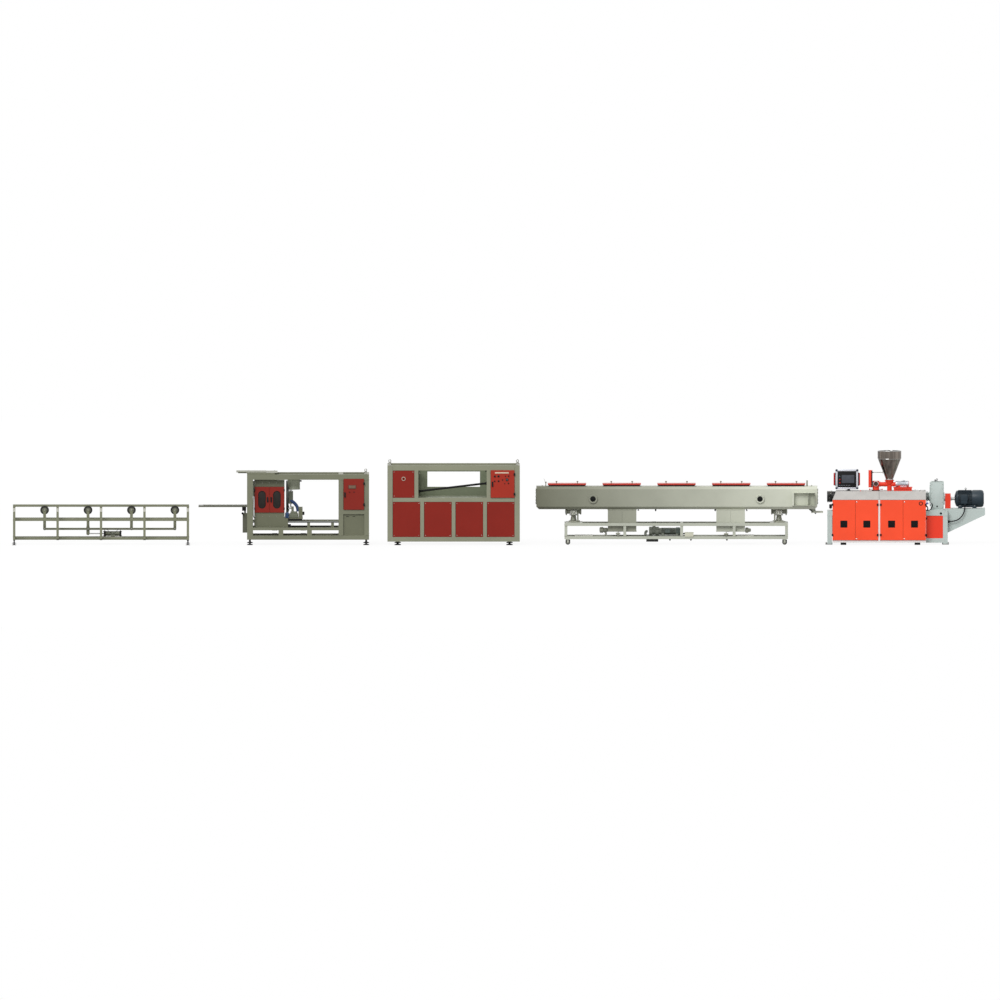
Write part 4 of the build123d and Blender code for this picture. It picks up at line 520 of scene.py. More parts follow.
bolt_places = [(x, -0.4255, z) for x in np.linspace(-5.10, -4.52, 5) for z in (0.60, 1.30)]
bolt_places += [(x, -0.4255, 0.385) for x in (-5.08, -4.80, -4.52)]
build("carriage_bolts", hexes(bolt_places, -Y, 0.016, 0.007), zinc, carriage)
build("carriage_side_duct", [slab((-5.155, -0.40, 1.02), (-5.1305, -0.33, 1.34), 0.008)],
      enamel("pale_duct", (168, 172, 158), roughness=0.4), carriage)
side_hoses = [strand([(-5.14, -0.36 + 0.03 * i, 1.02), (-5.148, -0.37 + 0.03 * i, 0.90),
                      (-5.15, -0.39, 0.74 - 0.05 * i), (-5.146, -0.37 + 0.02 * i, 0.60),
                      (-5.12, -0.36 + 0.03 * i, 0.545)], 0.007) for i in range(3)]
build("carriage_side_hoses", side_hoses, air_black, carriage)
brackets = [slab((-4.425, y - 0.02, 0.355), (-4.36, y + 0.02, 0.40), 0.006) for y in (-0.40, 0.40)]
brackets += [slab((-4.43, -0.36, 0.52), (-4.12, -0.345, 0.545), 0.004)]
build("carriage_brackets", brackets, black_plastic, carriage)

# Planetary saw head. A dark cast rotor with a toothed ring and slides, a feed motor and its dust drum,
# a corrugated blue suction hose that runs down to the base casting, and the clamp's knob.
rotor_x, pipe_z = -4.434, 1.0
rotor_dark = worked_metal("rotor_casting", (66, 68, 64), roughness=0.42, metallic=0.5)
ring = [(0.325, -0.028), (0.334, -0.024), (0.334, 0.024), (0.325, 0.028), (0.185, 0.028), (0.185, -0.028)]
build("saw_rotor_ring", [turned((rotor_x, 0, pipe_z), X, ring, 72, closed=True)],
      rotor_dark, carriage)
rotor_bolts = [(rotor_x + 0.028, o, pipe_z + p) for p, o in around(16, 0.30)]
build("saw_rotor_bolts", hexes(rotor_bolts, X, 0.02, 0.01), zinc, carriage)
slide_x = rotor_x + 0.07
slides = [turned((slide_x, y, 0.76), Z, [(0.014, 0), (0.014, 0.40)], 20) for y in (-0.245, -0.205)]
slides += [slab((slide_x - 0.035, -0.275, z), (slide_x + 0.035, -0.185, z + 0.045), 0.006)
           for z in (0.745, 1.13)]
slides += [turned((slide_x, -0.225, 0.85), Z, [(0.020, 0), (0.020, 0.03), (0.033, 0.035), (0.033, 0.16),
                                               (0.02, 0.17)], 24)]
build("saw_feed_slides", slides, chrome, carriage)
drum_profile = [(0.11, -0.006), (0.133, -0.003), (0.134, 0.0), (0.134, 0.016), (0.1315, 0.02),
                (0.1315, 0.198), (0.136, 0.20)]
build("saw_dust_drum", [turned((-4.30, -0.195, 1.16), Z, drum_profile, 44)],
      enamel("drum_enamel", (146, 150, 132), roughness=0.38, wear=0.3), carriage)
build("saw_drum_clip", [slab((-4.172, -0.24, 1.32), (-4.135, -0.17, 1.35), 0.006)],
      black_plastic, carriage)
hose_path = [(-4.385, -0.26, 0.93), (-4.33, -0.285, 0.905), (-4.275, -0.30, 0.86), (-4.228, -0.30, 0.79),
             (-4.21, -0.295, 0.70)]
build("saw_suction_hose", [strand(hose_path, 0.034, count=18, steps=26, ripples=17, depth=0.09)],
      moulded("suction_hose_blue", (48, 66, 104), roughness=0.42), carriage)
feed_profile = [(0.040, 0), (0.043, 0.01), (0.043, 0.075), (0.034, 0.085), (0.030, 0.10)]
build("saw_feed_motor", [turned((-4.44, -0.365, 0.585), Z, feed_profile, 28),
                         slab((-4.478, -0.40, 0.562), (-4.402, -0.33, 0.587), 0.008)],
      enamel("feed_motor_blue", (46, 70, 104), roughness=0.4), carriage)
build("saw_base_casting", [slab((-4.395, -0.35, 0.56), (-4.205, -0.12, 0.655), 0.018),
                           slab((-4.37, -0.33, 0.65), (-4.225, -0.15, 0.695), 0.022),
                           slab((-4.35, -0.30, 0.69), (-4.30, -0.20, 0.80), 0.012),
                           slab((-4.36, -0.10, 0.56), (-4.22, 0.30, 0.62), 0.012)],
      enamel("casting_grey", (104, 108, 92), roughness=0.5, peel=0.4), carriage)
knob_x, knob_y, knob_z = -4.115, -0.23, 0.655
knob_profile = [(0.033, 0.0), (0.034, 0.004), (0.034, 0.030), (0.030, 0.038), (0.012, 0.0405)]
knob = [turned((knob_x, knob_y, knob_z), X, knob_profile, 24)]
knob += [slab((knob_x + 0.006, knob_y + p - 0.003, knob_z + o - 0.003),
              (knob_x + 0.028, knob_y + p + 0.003, knob_z + o + 0.003), 0.001, X)
              for p, o in around(12, 0.0335)]
build("clamp_knob", knob, rubber, carriage)
clamp_bolts = [(x, -0.3405, z) for x in (-4.185, -4.13) for z in (0.60, 0.76)]
build("clamp_bolts", hexes(clamp_bolts, -Y, 0.018, 0.008), zinc, carriage)

# Cutter column and outfeed. The cabinet door has a small display, two black buttons and a handle; below it
# a recessed sheet has two slots. The tray has a guide roller and a clamping knob over its post.
column_door, front = "cutter_cabinet_door", -0.5703
button = [(0.011, 0), (0.011, 0.006), (0.008, 0.012)]
build("column_door_fittings", [[hinge_cover(-2.825, front, z) for z in (0.851, 1.293)],
                               flush_handle(-3.225, front, 1.057),
                               [turned((x, front + 0.001, 1.115), -Y, button, 20) for x in (-3.125, -3.035)]],
      black_plastic, column_door)
build("column_door_display", [slab((-3.155, front - 0.008, 1.182), (-2.990, front + 0.002, 1.262),
                                   0.008, Y, 0.003)],
      enamel("display_bezel", (86, 40, 36), roughness=0.4), column_door)
build("column_display_pane", [slab((-3.145, front - 0.0095, 1.192), (-3.0, front - 0.006, 1.252),
                                   0.003, Y, 0.001)],
      moulded("display_pane", (112, 92, 76), roughness=0.2, grain=30.0, bump=0.01),
      column_door)
build("column_slots", [slab((x - 0.028, -0.526, 0.598), (x + 0.028, -0.5165, 0.606), 0.003, Y, 0.001)
                       for x in (-3.17, -3.04)], black_plastic)
build("column_recess_seam", [bar((-3.26, -0.517, z), (-2.82, -0.517, z), 0.008, 0.01)
                             for z in (0.206, 0.644)], cutter_green)
roller = [(0.026, 0), (0.030, 0.006), (0.030, 0.144), (0.026, 0.15)]
post_knob = [(0.014, 0), (0.024, 0.004), (0.024, 0.022), (0.014, 0.028)]
outfeed = [turned((-5.345, -0.075, 0.748), Y, roller, 28)]
outfeed += [slab((-5.385, y - 0.006, 0.70), (-5.30, y + 0.006, 0.785), 0.006, Y, 0.001)
            for y in (-0.085, 0.085)]
outfeed += [turned((-5.374, -0.09, 0.646), -Y, post_knob, 20)]
build("outfeed_roller", outfeed, black_plastic)
build("outfeed_tray_lips", [bar((-6.298, y, 0.8215), (-5.271, y, 0.8215), 0.006, 0.006)
                            for y in (-0.1185, 0.1185)], zinc)
plate_bolts = [(x, y, 1.520) for x in (-5.25, -4.70) for y in (-0.48, 0.48)]
build("top_plate_bolts", hexes(plate_bolts, Z, 0.02, 0.009), zinc)

# Haul-off. A closed welded frame in grey-green with red sheet panels ringed by black bands of painted shadow
# for the gaps round them, a control door with its meter and buttons, lifting eyes at the corners and wide
# black feet.
haul_green = enamel("hauloff_enamel", (136, 138, 118), below=(0.0745, black_steel))
haul_inside = enamel("hauloff_inside", (112, 119, 98), roughness=0.45)
dress(haul_green, "hauloff_frame")
dress(haul_inside, "hauloff_inner_walls", "hauloff_control_cabinet")
dress(enamel("panel_red_enamel", (130, 29, 17), roughness=0.36, wear=0.3, dust=0.1), "hauloff_panels")
dress(enamel("control_red_enamel", (158, 44, 28), roughness=0.36, wear=0.3, dust=0.1), "hauloff_control_door")
dress(rubber, "hauloff_diagonal_bar")


def band_loop(x0, x1, y, z0, z1, bead=0.004):
    """A thin band round a panel: a small circle carried round the panel's rectangle."""
    return welds(((x0 + x1) / 2, y, (z0 + z1) / 2), Y, (x1 - x0) / 2, (z1 - z0) / 2, bead)


haul_left, haul_right, post, rib = -2.333, 0.447, 0.110, 0.080
first_x, last_x = haul_left + post, haul_right - post
step = (last_x - first_x + rib) / 4
lower_spans = [(first_x + step * i, first_x + step * (i + 1) - rib) for i in range(4)]
left_bay, right_bay = (first_x, haul_left + 0.567), (last_x - 0.504, last_x)
bay_low, bay_high = 0.995, 1.570
# The black bands round the red panels are painted shadow in the gaps between the panels and the frame.
build("hauloff_panel_shadow_gaps", [
    [band_loop(a, b, side * 0.5965, 0.172, 0.911) for a, b in lower_spans for side in (-1, 1)],
    [band_loop(a, b, 0.5965, bay_low, bay_high) for a, b in (left_bay, right_bay)],
    band_loop(*left_bay, -0.5965, bay_low, bay_high)], rubber)
screw = [(0.008, 0), (0.007, 0.003), (0.003, 0.0045)]
screwed = [(span, (0.205, 0.878)) for span in lower_spans] + [(left_bay, (1.03, 1.535))]
build("hauloff_panel_screws", [turned((x, side * 0.5962, z), side * Y, screw, 10) for (a, b), zs in screwed
                               for x in (a + 0.03, b - 0.03) for z in zs for side in (-1, 1)],
      zinc)
port_ring = [(0.030, 0), (0.042, 0), (0.042, 0.006), (0.036, 0.009), (0.030, 0.007)]
build("hauloff_port_trim", [turned((-1.9945, -0.5965, 1.395), -Y, port_ring, 32, closed=True)],
      enamel("port_pale", (186, 176, 160)))
pad_profile = [(0.0685, 0), (0.070, 0.008), (0.062, 0.018), (0.036, 0.026), (0.022, 0.036), (0.020, 0.06)]
build("hauloff_foot_pads", [turned((x, y, 0), Z, pad_profile, 32)
                            for x in (haul_left + 0.216, haul_right - 0.216) for y in (-0.52, 0.52)],
      rubber)
build("hauloff_eye_bolts", [eye_bolt(x, y, 1.674, 0.024) for x in (haul_left + 0.05, haul_right - 0.05)
                            for y in (-0.55, 0.55)], zinc)
build("hauloff_welds", [welds((x, side * 0.5995, z), Y, 0.003, 0.03)
                        for x in (first_x, last_x) for z in (0.95, 1.62) for side in (-1, 1)],
      haul_green)
door, front = "hauloff_control_door", -0.6203
buttons = [(-0.078, 1.447, 0.015), (0.0, 1.450, 0.017), (-0.080, 1.345, 0.012), (0.0, 1.348, 0.014),
           (0.086, 1.374, 0.009), (0.148, 1.452, 0.009), (0.212, 1.452, 0.012), (0.131, 1.298, 0.008),
           (0.208, 1.303, 0.011)]
build("control_door_fittings", [
    [hinge_cover(0.333, front, z) for z in (1.075, 1.490)], flush_handle(-0.127, front, 1.283),
    [turned((x, front + 0.001, z), -Y,
            [(r * 1.35, 0), (r * 1.35, 0.004), (r, 0.006), (r, 0.017), (r * 0.8, 0.020)], 24)
     for x, z, r in buttons],
    slab((0.155, front - 0.012, 1.352), (0.205, front + 0.001, 1.405), 0.005, Y, 0.003)],
      black_plastic, door)
build("control_door_meter_pane", [slab((0.162, front - 0.0135, 1.362), (0.198, front - 0.010, 1.396),
                                       0.003, Y, 0.001)],
      moulded("meter_pane", (74, 80, 84), roughness=0.15, grain=30.0, bump=0.01), door)
build("control_door_plate", [slab((-0.076, front - 0.003, 1.508), (0.216, front + 0.001, 1.536),
                                  0.003, Y, 0.001)],
      enamel("blank_plate", (208, 186, 164), roughness=0.35, wear=0.3), door)
build("hauloff_inner_cover", [slab((-1.668, -0.30, 1.02), (-1.650, 0.10, 1.495), 0.006),
                              slab((-1.650, -0.30, 1.02), (-1.575, -0.288, 1.495), 0.004)],
      haul_inside)
latches = [slab((-0.275, 0.36, 1.50), (-0.2505, 0.40, 1.53), 0.004)]
latches += [slab((x, -0.335, z - 0.035), (x + 0.025, -0.265, z + 0.035), 0.008)
            for x, z in ((-1.683, 1.122), (-0.275, 1.289))]
build("hauloff_bar_brackets", latches, black_plastic)

# Cooling tank. A long folded trough in pale grey-green enamel, painted darker away from the extruder and
# lighter towards it as painted shade and painted light; it has two bolted sight glasses, gauge posts, drain
# stubs and an open control box with a pale backing sheet.
# Painted light and shade along the tank: a darker shaded tone at the end away from the extruder and the lit
# tone towards it.
tank_shaded_tone, tank_lit_tone = (110, 111, 95), (200, 203, 188)
tank_green = enamel("tank_enamel", tank_lit_tone, roughness=0.42, wear=0.3, dust=0.12)
tree = tank_green.node_tree
shader = tree.nodes["Principled BSDF"]
painted = shader.inputs["Base Color"].links[0].from_socket
# The colour is multiplied down to the shaded tone at x 0.8 and runs up to the lit tone at x 6.4: painted
# shade and painted light along the tank.
along = wire(tree, "SeparateXYZ", {0: object_place(tree)}).outputs["X"]
ratio = tuple(dull / fresh for dull, fresh in zip(linear(tank_shaded_tone), linear(tank_lit_tone)))
darker = blend_colour(tree, 1.0, painted, ratio, "MULTIPLY")
shaded_lengthwise = blend_colour(tree, scaled(tree, along, start=0.8, stop=6.4), darker, painted)
tree.links.new(shaded_lengthwise, shader.inputs["Base Color"])
dress(tank_green, "tank_shell", "tank_water_boxes", "tank_sight_glasses")
dress(enamel("base_enamel", (178, 181, 168), roughness=0.42, wear=0.3, dust=0.12), "tank_base_frame")
support_metal = worked_metal("support_casting", (150, 152, 138), roughness=0.42, metallic=0.35)
dress(support_metal, "tank_supports")
sight_z = 0.957
sight_rim = [(0.0585, 0), (0.0585, -0.004), (0.066, -0.007), (0.088, -0.007), (0.094, -0.002), (0.094, 0.001)]
sight_pane = [(0.0585, 0), (0.0585, 0.003), (0.040, 0.005), (0.015, 0.006)]
for i, x in enumerate((1.984, 5.491), 1):
    build(f"tank_sight_rim_{i}", [turned((x, -0.299, sight_z), Y, sight_rim, 48, closed=True)],
          tank_green)
    build(f"tank_sight_pane_{i}", [turned((x, -0.2885, sight_z), -Y, sight_pane, 40)],
          moulded(f"sight_pane_{i}", (10, 12, 12), roughness=0.1, grain=20.0, bump=0.005))
    ring_bolts = [(x + p, -0.3055, sight_z + o) for p, o in around(8, 0.078, pi / 8)]
    build(f"tank_sight_bolts_{i}", hexes(ring_bolts, -Y, 0.013, 0.005), zinc)
post_y, post_z = -0.16, 1.217
gauge_profile = [(0.020, 0), (0.020, 0.008), (0.010, 0.012), (0.010, 0.07), (0.017, 0.074), (0.017, 0.10)]
posts = [turned((0.993, post_y, post_z), Z, gauge_profile, 20)]
posts += [strand([(0.985, post_y, 1.30), (0.972, post_y, 1.33), (0.955, post_y, 1.378)], 0.003)]
posts += [turned((x, post_y, post_z), Z, [(0.012, 0), (0.012, 0.02), (0.007, 0.03)], 16)
          for x in (0.917, 6.575)]
posts += [slab((6.462, -0.165, post_z), (6.496, -0.135, 1.345), 0.006)]
build("tank_gauge_posts", posts, support_metal)
stub = [(0.017, 0), (0.017, 0.03), (0.012, 0.034), (0.012, 0.045)]
build("tank_drain_stubs", [turned((x, -0.15, 0.741), -Z, stub, 20) for x in (3.30, 4.55)],
      black_zinc)
port_flange = [(0.1295, 0), (0.165, 0), (0.165, 0.012), (0.1295, 0.012)]
build("tank_port_flanges", [turned((x, 0, pipe_z), X, port_flange, 56, closed=True) for x in (0.782, 6.694)],
      tank_green)
port_bolts = [hexes([(x, p, pipe_z + o) for p, o in around(12, 0.150)], way * X, 0.016, 0.007)
              for x, way in ((0.782, -1), (6.706, 1))]
build("tank_port_bolts", port_bolts, zinc)
recess_front, recess_back, recess_low, recess_high = -0.3015, -0.2842, 0.826, 1.084
recess = [slab((6.207, recess_front, recess_low), (6.505, recess_back, recess_high), 0.004, Y, 0.001)]
recess += [slab((6.500, -0.396, recess_low), (6.506, recess_back, recess_high), 0.002)]
build("control_box_backing", recess, enamel("backing_pale", (196, 199, 184), roughness=0.42))
build("control_box_end_sheet", [slab((6.507, -0.300, recess_low), (6.638, recess_back, recess_high),
                                     0.004, Y, 0.001)],
      enamel("backing_end", (176, 179, 164), roughness=0.5))
catch = [bar((6.52, y, 0.735), (6.66, y, 0.655), 0.016, 0.020) for y in (-0.12, 0.12)]
catch += [turned((x, -0.13, z), Y, [(0.016, 0), (0.016, 0.26)], 20)
          for x, z in ((6.56, 0.715), (6.655, 0.652))]
build("tank_end_rollers", catch, black_zinc)
build("tank_end_tray", [slab((6.60, -0.14, 0.660), (6.815, 0.14, 0.670), 0.004),
                        [bar((6.60, y, 0.678), (6.815, y, 0.678), 0.004, 0.020) for y in (-0.138, 0.138)],
                        bar((6.62, 0, 0.66), (6.60, 0, 0.742), 0.03, 0.10)], tank_green)

# Tank lids. A red pressed pan on a black rubber frame, with two turned handles and a pair of black hinges.
handle = [(0.0115, -0.002), (0.0115, 0.030), (0.019, 0.036), (0.021, 0.046), (0.014, 0.052)]
for i in range(1, 6):
    x, lid = 1.437 + 1.150 * (i - 1), f"tank_lid_{i}"
    dress(enamel(f"lid_red_enamel_{i}", (190, 58, 45), roughness=0.34, wear=0.35, dust=0.12,
                 below=(1.249, (26, 26, 26))), lid)
    build(f"tank_lid_rim_{i}", [welds((x, 0, 1.2735), Z, 0.2012, 0.4012)],
          enamel(f"lid_rim_enamel_{i}", (196, 62, 48), roughness=0.34), lid)
    build(f"tank_lid_handles_{i}", [turned((x + dx, -0.1, 1.277), Z, handle, 20) for dx in (-0.22, 0.22)],
          support_metal, lid)
    build(f"tank_lid_hinges_{i}",
          [slab((x + dx - 0.03, 0.186, 1.2305), (x + dx + 0.03, 0.212, 1.2555), 0.009, X)
           for dx in (-0.8 / 3, 0.8 / 3)], black_plastic, lid)

# Tank base. A trolley of square tube with pressed casters, two adjustable supports with flanges and
# handwheels, floor plates, a junction box and small valves beside the water boxes.
casters = [(x, y) for x in (1.456, 6.008) for y in (-0.35, 0.35)]
caster_z = 0.05
tread = [(0.034, -0.015), (0.044, -0.0175), (0.0485, -0.014), (0.050, 0), (0.0485, 0.014), (0.044, 0.0175),
         (0.034, 0.015)]
core = [(0.0091, -0.018), (0.016, -0.018), (0.019, -0.010), (0.0345, -0.012), (0.0345, 0.012), (0.019, 0.010),
        (0.016, 0.018), (0.0091, 0.018)]
for i, (x, y) in enumerate(casters, 1):
    wheel = f"tank_wheel_{i}"
    build(f"caster_tread_{i}", [turned((x, y, caster_z), Y, tread, 36, closed=True)], tyre_black,
          wheel, replaces=[wheel])
    build(f"caster_core_{i}", [turned((x, y, caster_z), Y, core, 28, closed=True)], hub_grey,
          wheel)
build("caster_races_and_nuts", [
    [turned((x, y, 0.1015), Z, [(0.030, 0), (0.042, 0.003), (0.042, 0.0085)], 28) for x, y in casters],
    [hexes([(x, y + side * 0.029, caster_z)], side * Y, 0.024, 0.008)
     for x, y in casters for side in (-1, 1)]],
      zinc)
wheel_tilt = 0.25 * Z - Y
u, v = across(wheel_tilt)[:2]
for i, (x, way) in enumerate(((1.575, -1), (5.889, 1)), 1):
    build(f"tank_support_flanges_{i}", [
        turned((x, 0, 0.479), Z, [(0.098, 0), (0.098, 0.012), (0.080, 0.016), (0.060, 0.030)], 40),
        turned((x, 0, 0.60), Z, [(0.050, 0), (0.085, 0.004), (0.085, 0.018), (0.050, 0.022)], 40),
        turned((x + way * 0.166, 0, 0.685), way * X,
               [(0.050, -0.03), (0.078, -0.028), (0.078, -0.004), (0.060, 0), (0.030, 0.010)], 40),
        turned((x - way * 0.166, 0, 0.685), -way * X,
               [(0.050, -0.03), (0.066, -0.028), (0.066, -0.008), (0.050, 0)], 40),
        turned((x, -0.10, 0.66), wheel_tilt,
               [(0.052, 0), (0.052, 0.05), (0.070, 0.054), (0.070, 0.072), (0.040, 0.076)], 36),
        turned((x - way * 0.09, -0.13, 0.49), Z,
               [(0.044, 0), (0.044, 0.012), (0.016, 0.016), (0.016, 0.19), (0.028, 0.20)], 28),
        slab((x - 0.10, -0.16, 0.4635), (x + 0.13, -0.09, 0.4905), 0.010),
        slab((x - 0.045, -0.07, 0.62), (x + 0.045, 0.07, 0.70), 0.020)], support_metal)
    hub = np.array((x, -0.182, 0.6825))
    rim = turned(hub, wheel_tilt, [(0.062 + p, o) for p, o in around(10, 0.007)], 36, closed=True)
    spokes = [bar(hub - reach, hub + reach, 0.008, 0.008)
              for reach in (p * u + o * v for p, o in around(6, 0.060, 0.3)[:3])]
    build(f"tank_support_handwheel_{i}", [rim, spokes], zinc)
    flange_bolts = [(x + p, o, z) for r, z in ((0.088, 0.491), (0.074, 0.618)) for p, o in around(8, r)]
    build(f"tank_support_bolts_{i}", hexes(flange_bolts, Z, 0.016, 0.009), zinc)
build("tank_floor_plates", [slab((x, -0.379, 0.1785), (x + length, 0.379, 0.1845), 0.003)
                            for x, length in ((1.60, 0.38), (5.00, 0.36))],
      enamel("floor_plate", (196, 198, 184), roughness=0.4))
build("tank_junction_box", [slab((3.912, -0.392, 0.165), (4.093, -0.315, 0.262), 0.006),
                            slab((3.905, -0.397, 0.252), (4.100, -0.312, 0.264), 0.004)],
      enamel("junction_pale", (196, 196, 178), roughness=0.4))
drain = [(0.02, 0), (0.02, 0.014), (0.012, 0.018), (0.012, 0.035)]
glands = [turned((3.912, -0.355, 0.235), -X, [(0.016, 0), (0.016, 0.02), (0.010, 0.045)], 16)]
glands += [turned((x, -0.355, 0.12), -Z, drain, 16) for x in (4.04, 4.796, 3.60)]
glands += [slab((3.103, -0.375, 0.064), (3.354, -0.10, 0.118), 0.012)]
build("tank_glands_and_pan", glands, black_zinc)


def ball_valve(x, y, z, size=0.02):
    """A ball valve along X: a round body between two hexagon ends, with a short stem for its lever."""
    centre = np.array((x, y, z))
    profile = [(0.8, -1.6), (0.8, -1), (1.25, -0.6), (1.4, 0), (1.25, 0.6), (0.8, 1), (0.8, 1.6)]
    return [turned(centre, X, [(size * r, size * s) for r, s in profile], 20),
            [hexes([centre + way * size * 1.5 * X], way * X, size * 2.4, size * 0.8) for way in (1, -1)],
            turned(centre, Z, [(size * 0.4, 0), (size * 0.4, size * 2.0)], 12)]


valves, valve_y = ((2.51, 0.235), (4.78, 0.225)), -0.385
left_pump = [(0.030, 0), (0.058, 0.01), (0.062, 0.05), (0.062, 0.075), (0.045, 0.085), (0.045, 0.165),
             (0.03, 0.175)]
right_pump = [(0.032, 0), (0.056, 0.01), (0.056, 0.06), (0.040, 0.07), (0.030, 0.12)]
build("tank_small_pumps_and_valves", [
    strand([(2.21, -0.20, 0.28), (2.25, -0.20, 0.25), (2.255, -0.20, 0.21), (2.22, -0.20, 0.185)],
           0.018, count=16),
    turned((2.12, -0.20, 0.305), X, left_pump, 32), [ball_valve(x, valve_y, z) for x, z in valves],
    turned((5.18, -0.20, 0.30), X, right_pump, 28),
    [turned((x, valve_y, 0.178), Z, [(0.014, 0), (0.014, 0.05)], 16) for x, _ in valves]],
      support_metal)
levers = [bar((x, valve_y, z + 0.042), (x + 0.07, valve_y, z + 0.055), 0.014, 0.005) for x, z in valves]
levers += [strand([(5.20, -0.21, 0.745), (5.215, -0.21, 0.72), (5.213, -0.21, 0.70)], 0.011),
           strand([(2.93, -0.25, 0.735), (2.94, -0.25, 0.71)], 0.014)]
build("tank_valve_levers", levers, black_plastic)
water_boxes = (2.595, 4.874)
box_edges = [welds((x, -0.075, z), Z, 0.2255, 0.3005) for x in water_boxes for z in (0.275, 0.728)]
box_edges += [bar((x, -0.3005, 0.30), (x, -0.3005, 0.71), 0.003, 0.003) for x in water_boxes]
build("tank_box_seams", box_edges, tank_green)
base_joints = [(x + 0.03, side * 0.35, z) for x in (1.386, 2.622, 3.816, 4.918, 6.018)
               for side in (-1, 1) for z in (0.179, 0.394)]
build("tank_base_welds", [welds(joint, Z, 0.031, 0.031) for joint in base_joints], tank_green)

# Pump set. Two cast pump casings with bolted covers on one finned motor, and the riser pipe with its flange.
pump_grey = worked_metal("pump_casting", (126, 130, 120), roughness=0.45, metallic=0.4)
dress(pump_grey, "tank_pump_set")
pump_y, pump_z = -0.15, 0.275
casing = [(0.060, -0.036), (0.098, -0.034), (0.100, -0.020), (0.092, -0.010), (0.092, 0.010), (0.100, 0.020),
          (0.098, 0.034), (0.060, 0.036)]
riser = [(0.032, 0), (0.058, 0.004), (0.058, 0.022), (0.034, 0.028), (0.034, 0.062),
         (0.050, 0.066), (0.050, 0.080)]
build("pump_casings", [
    [turned((x, pump_y, pump_z), X, casing, 44) for x in (3.20, 3.33)],
    turned((3.265, pump_y, 0.40), Z, riser, 32),
    strand([(3.13, pump_y, pump_z), (3.10, -0.155, 0.27), (3.085, -0.17, 0.235), (3.085, -0.18, 0.19)],
           0.026, count=18)], pump_grey)
cover_bolts = [hexes([(x, pump_y + p, pump_z + o) for p, o in around(8, 0.085)], way * X, 0.015, 0.008)
               for x, way in ((3.165, -1), (3.365, 1))]
build("pump_cover_bolts", cover_bolts, zinc)
fin = [(0.0705, -0.002), (0.0825, -0.0012), (0.0825, 0.0012), (0.0705, 0.002)]
cowl = [(0.074, 0), (0.084, 0.003), (0.084, 0.075), (0.070, 0.090), (0.030, 0.094)]
build("pump_motor_fins", [[turned((x, pump_y, pump_z), X, fin, 36) for x in np.arange(3.43, 3.72, 0.014)],
                          turned((3.725, pump_y, pump_z), X, cowl, 36),
                          slab((3.50, -0.262, 0.245), (3.60, -0.215, 0.330), 0.008)],
      enamel("pump_motor_green", (98, 108, 104), roughness=0.4))
foot_bolts = [(x + dx, y, 0.186) for x in (3.45, 3.75) for dx in (-0.012, 0.012) for y in (-0.21, -0.09)]
build("pump_foot_bolts", hexes(foot_bolts, Z, 0.016, 0.012), zinc)

# Extruder frame. Heavy pale green box sections with a welded motor bracket, foot plates and red
# side panels held by black knobs and small hinges.
machine_green = enamel("extruder_enamel", (182, 193, 189), roughness=0.38, wear=0.3, dust=0.15)
bright_orange = enamel("feeder_orange", (226, 62, 40), roughness=0.34, wear=0.3, dust=0.08)
dress(machine_green, "extruder_base_frame", "extruder_gearbox")
dress(enamel("side_panel_red", (232, 62, 40), roughness=0.32, wear=0.2, dust=0.05), "extruder_side_panels")
dress(bright_orange, "extruder_coupling_guard", "extruder_feeder", "extruder_feed_cup", "extruder_belt_guard")
build("extruder_foot_plates", [slab((x0, y - 0.066, 0.0), (x1, y + 0.066, 0.016), 0.004)
                               for x0, x1 in ((6.865, 7.012), (9.315, 9.458)) for y in (-0.25, 0.25)],
      worked_metal("foot_plate_steel", (140, 142, 140), roughness=0.45, metallic=0.5))
anchors = [(x, y, 0.016) for x in (6.880, 9.446) for y in (-0.30, -0.20, 0.20, 0.30)]
build("extruder_anchor_bolts", hexes(anchors, Z, 0.018, 0.012), zinc)
build("extruder_black_knobs", [
    turned((9.288, -0.300, 0.656), -Y, [(0.022, 0), (0.022, 0.010), (0.016, 0.014)], 24),
    [hinge_cover(8.985, -0.297, z, 0.04) for z in (0.55, 0.19)],
    slab((6.944, -0.235, 0.752), (7.004, -0.165, 0.846), 0.020, Y)], black_plastic)
frame_beads = [welds((x, side * 0.25, 0.606), Z, 0.0505, 0.0505) for x in (6.955, 9.383) for side in (-1, 1)]
frame_beads += [bar((9.437, side * 0.1725, 0.25), (9.437, side * 0.1725, 0.75), 0.006, 0.006)
                for side in (-1, 1)]
build("extruder_welds", frame_beads, machine_green)
build("extruder_left_panel", [slab((7.0055, -0.195, 0.196), (7.0135, 0.195, 0.606), 0.003)],
      bright_orange)

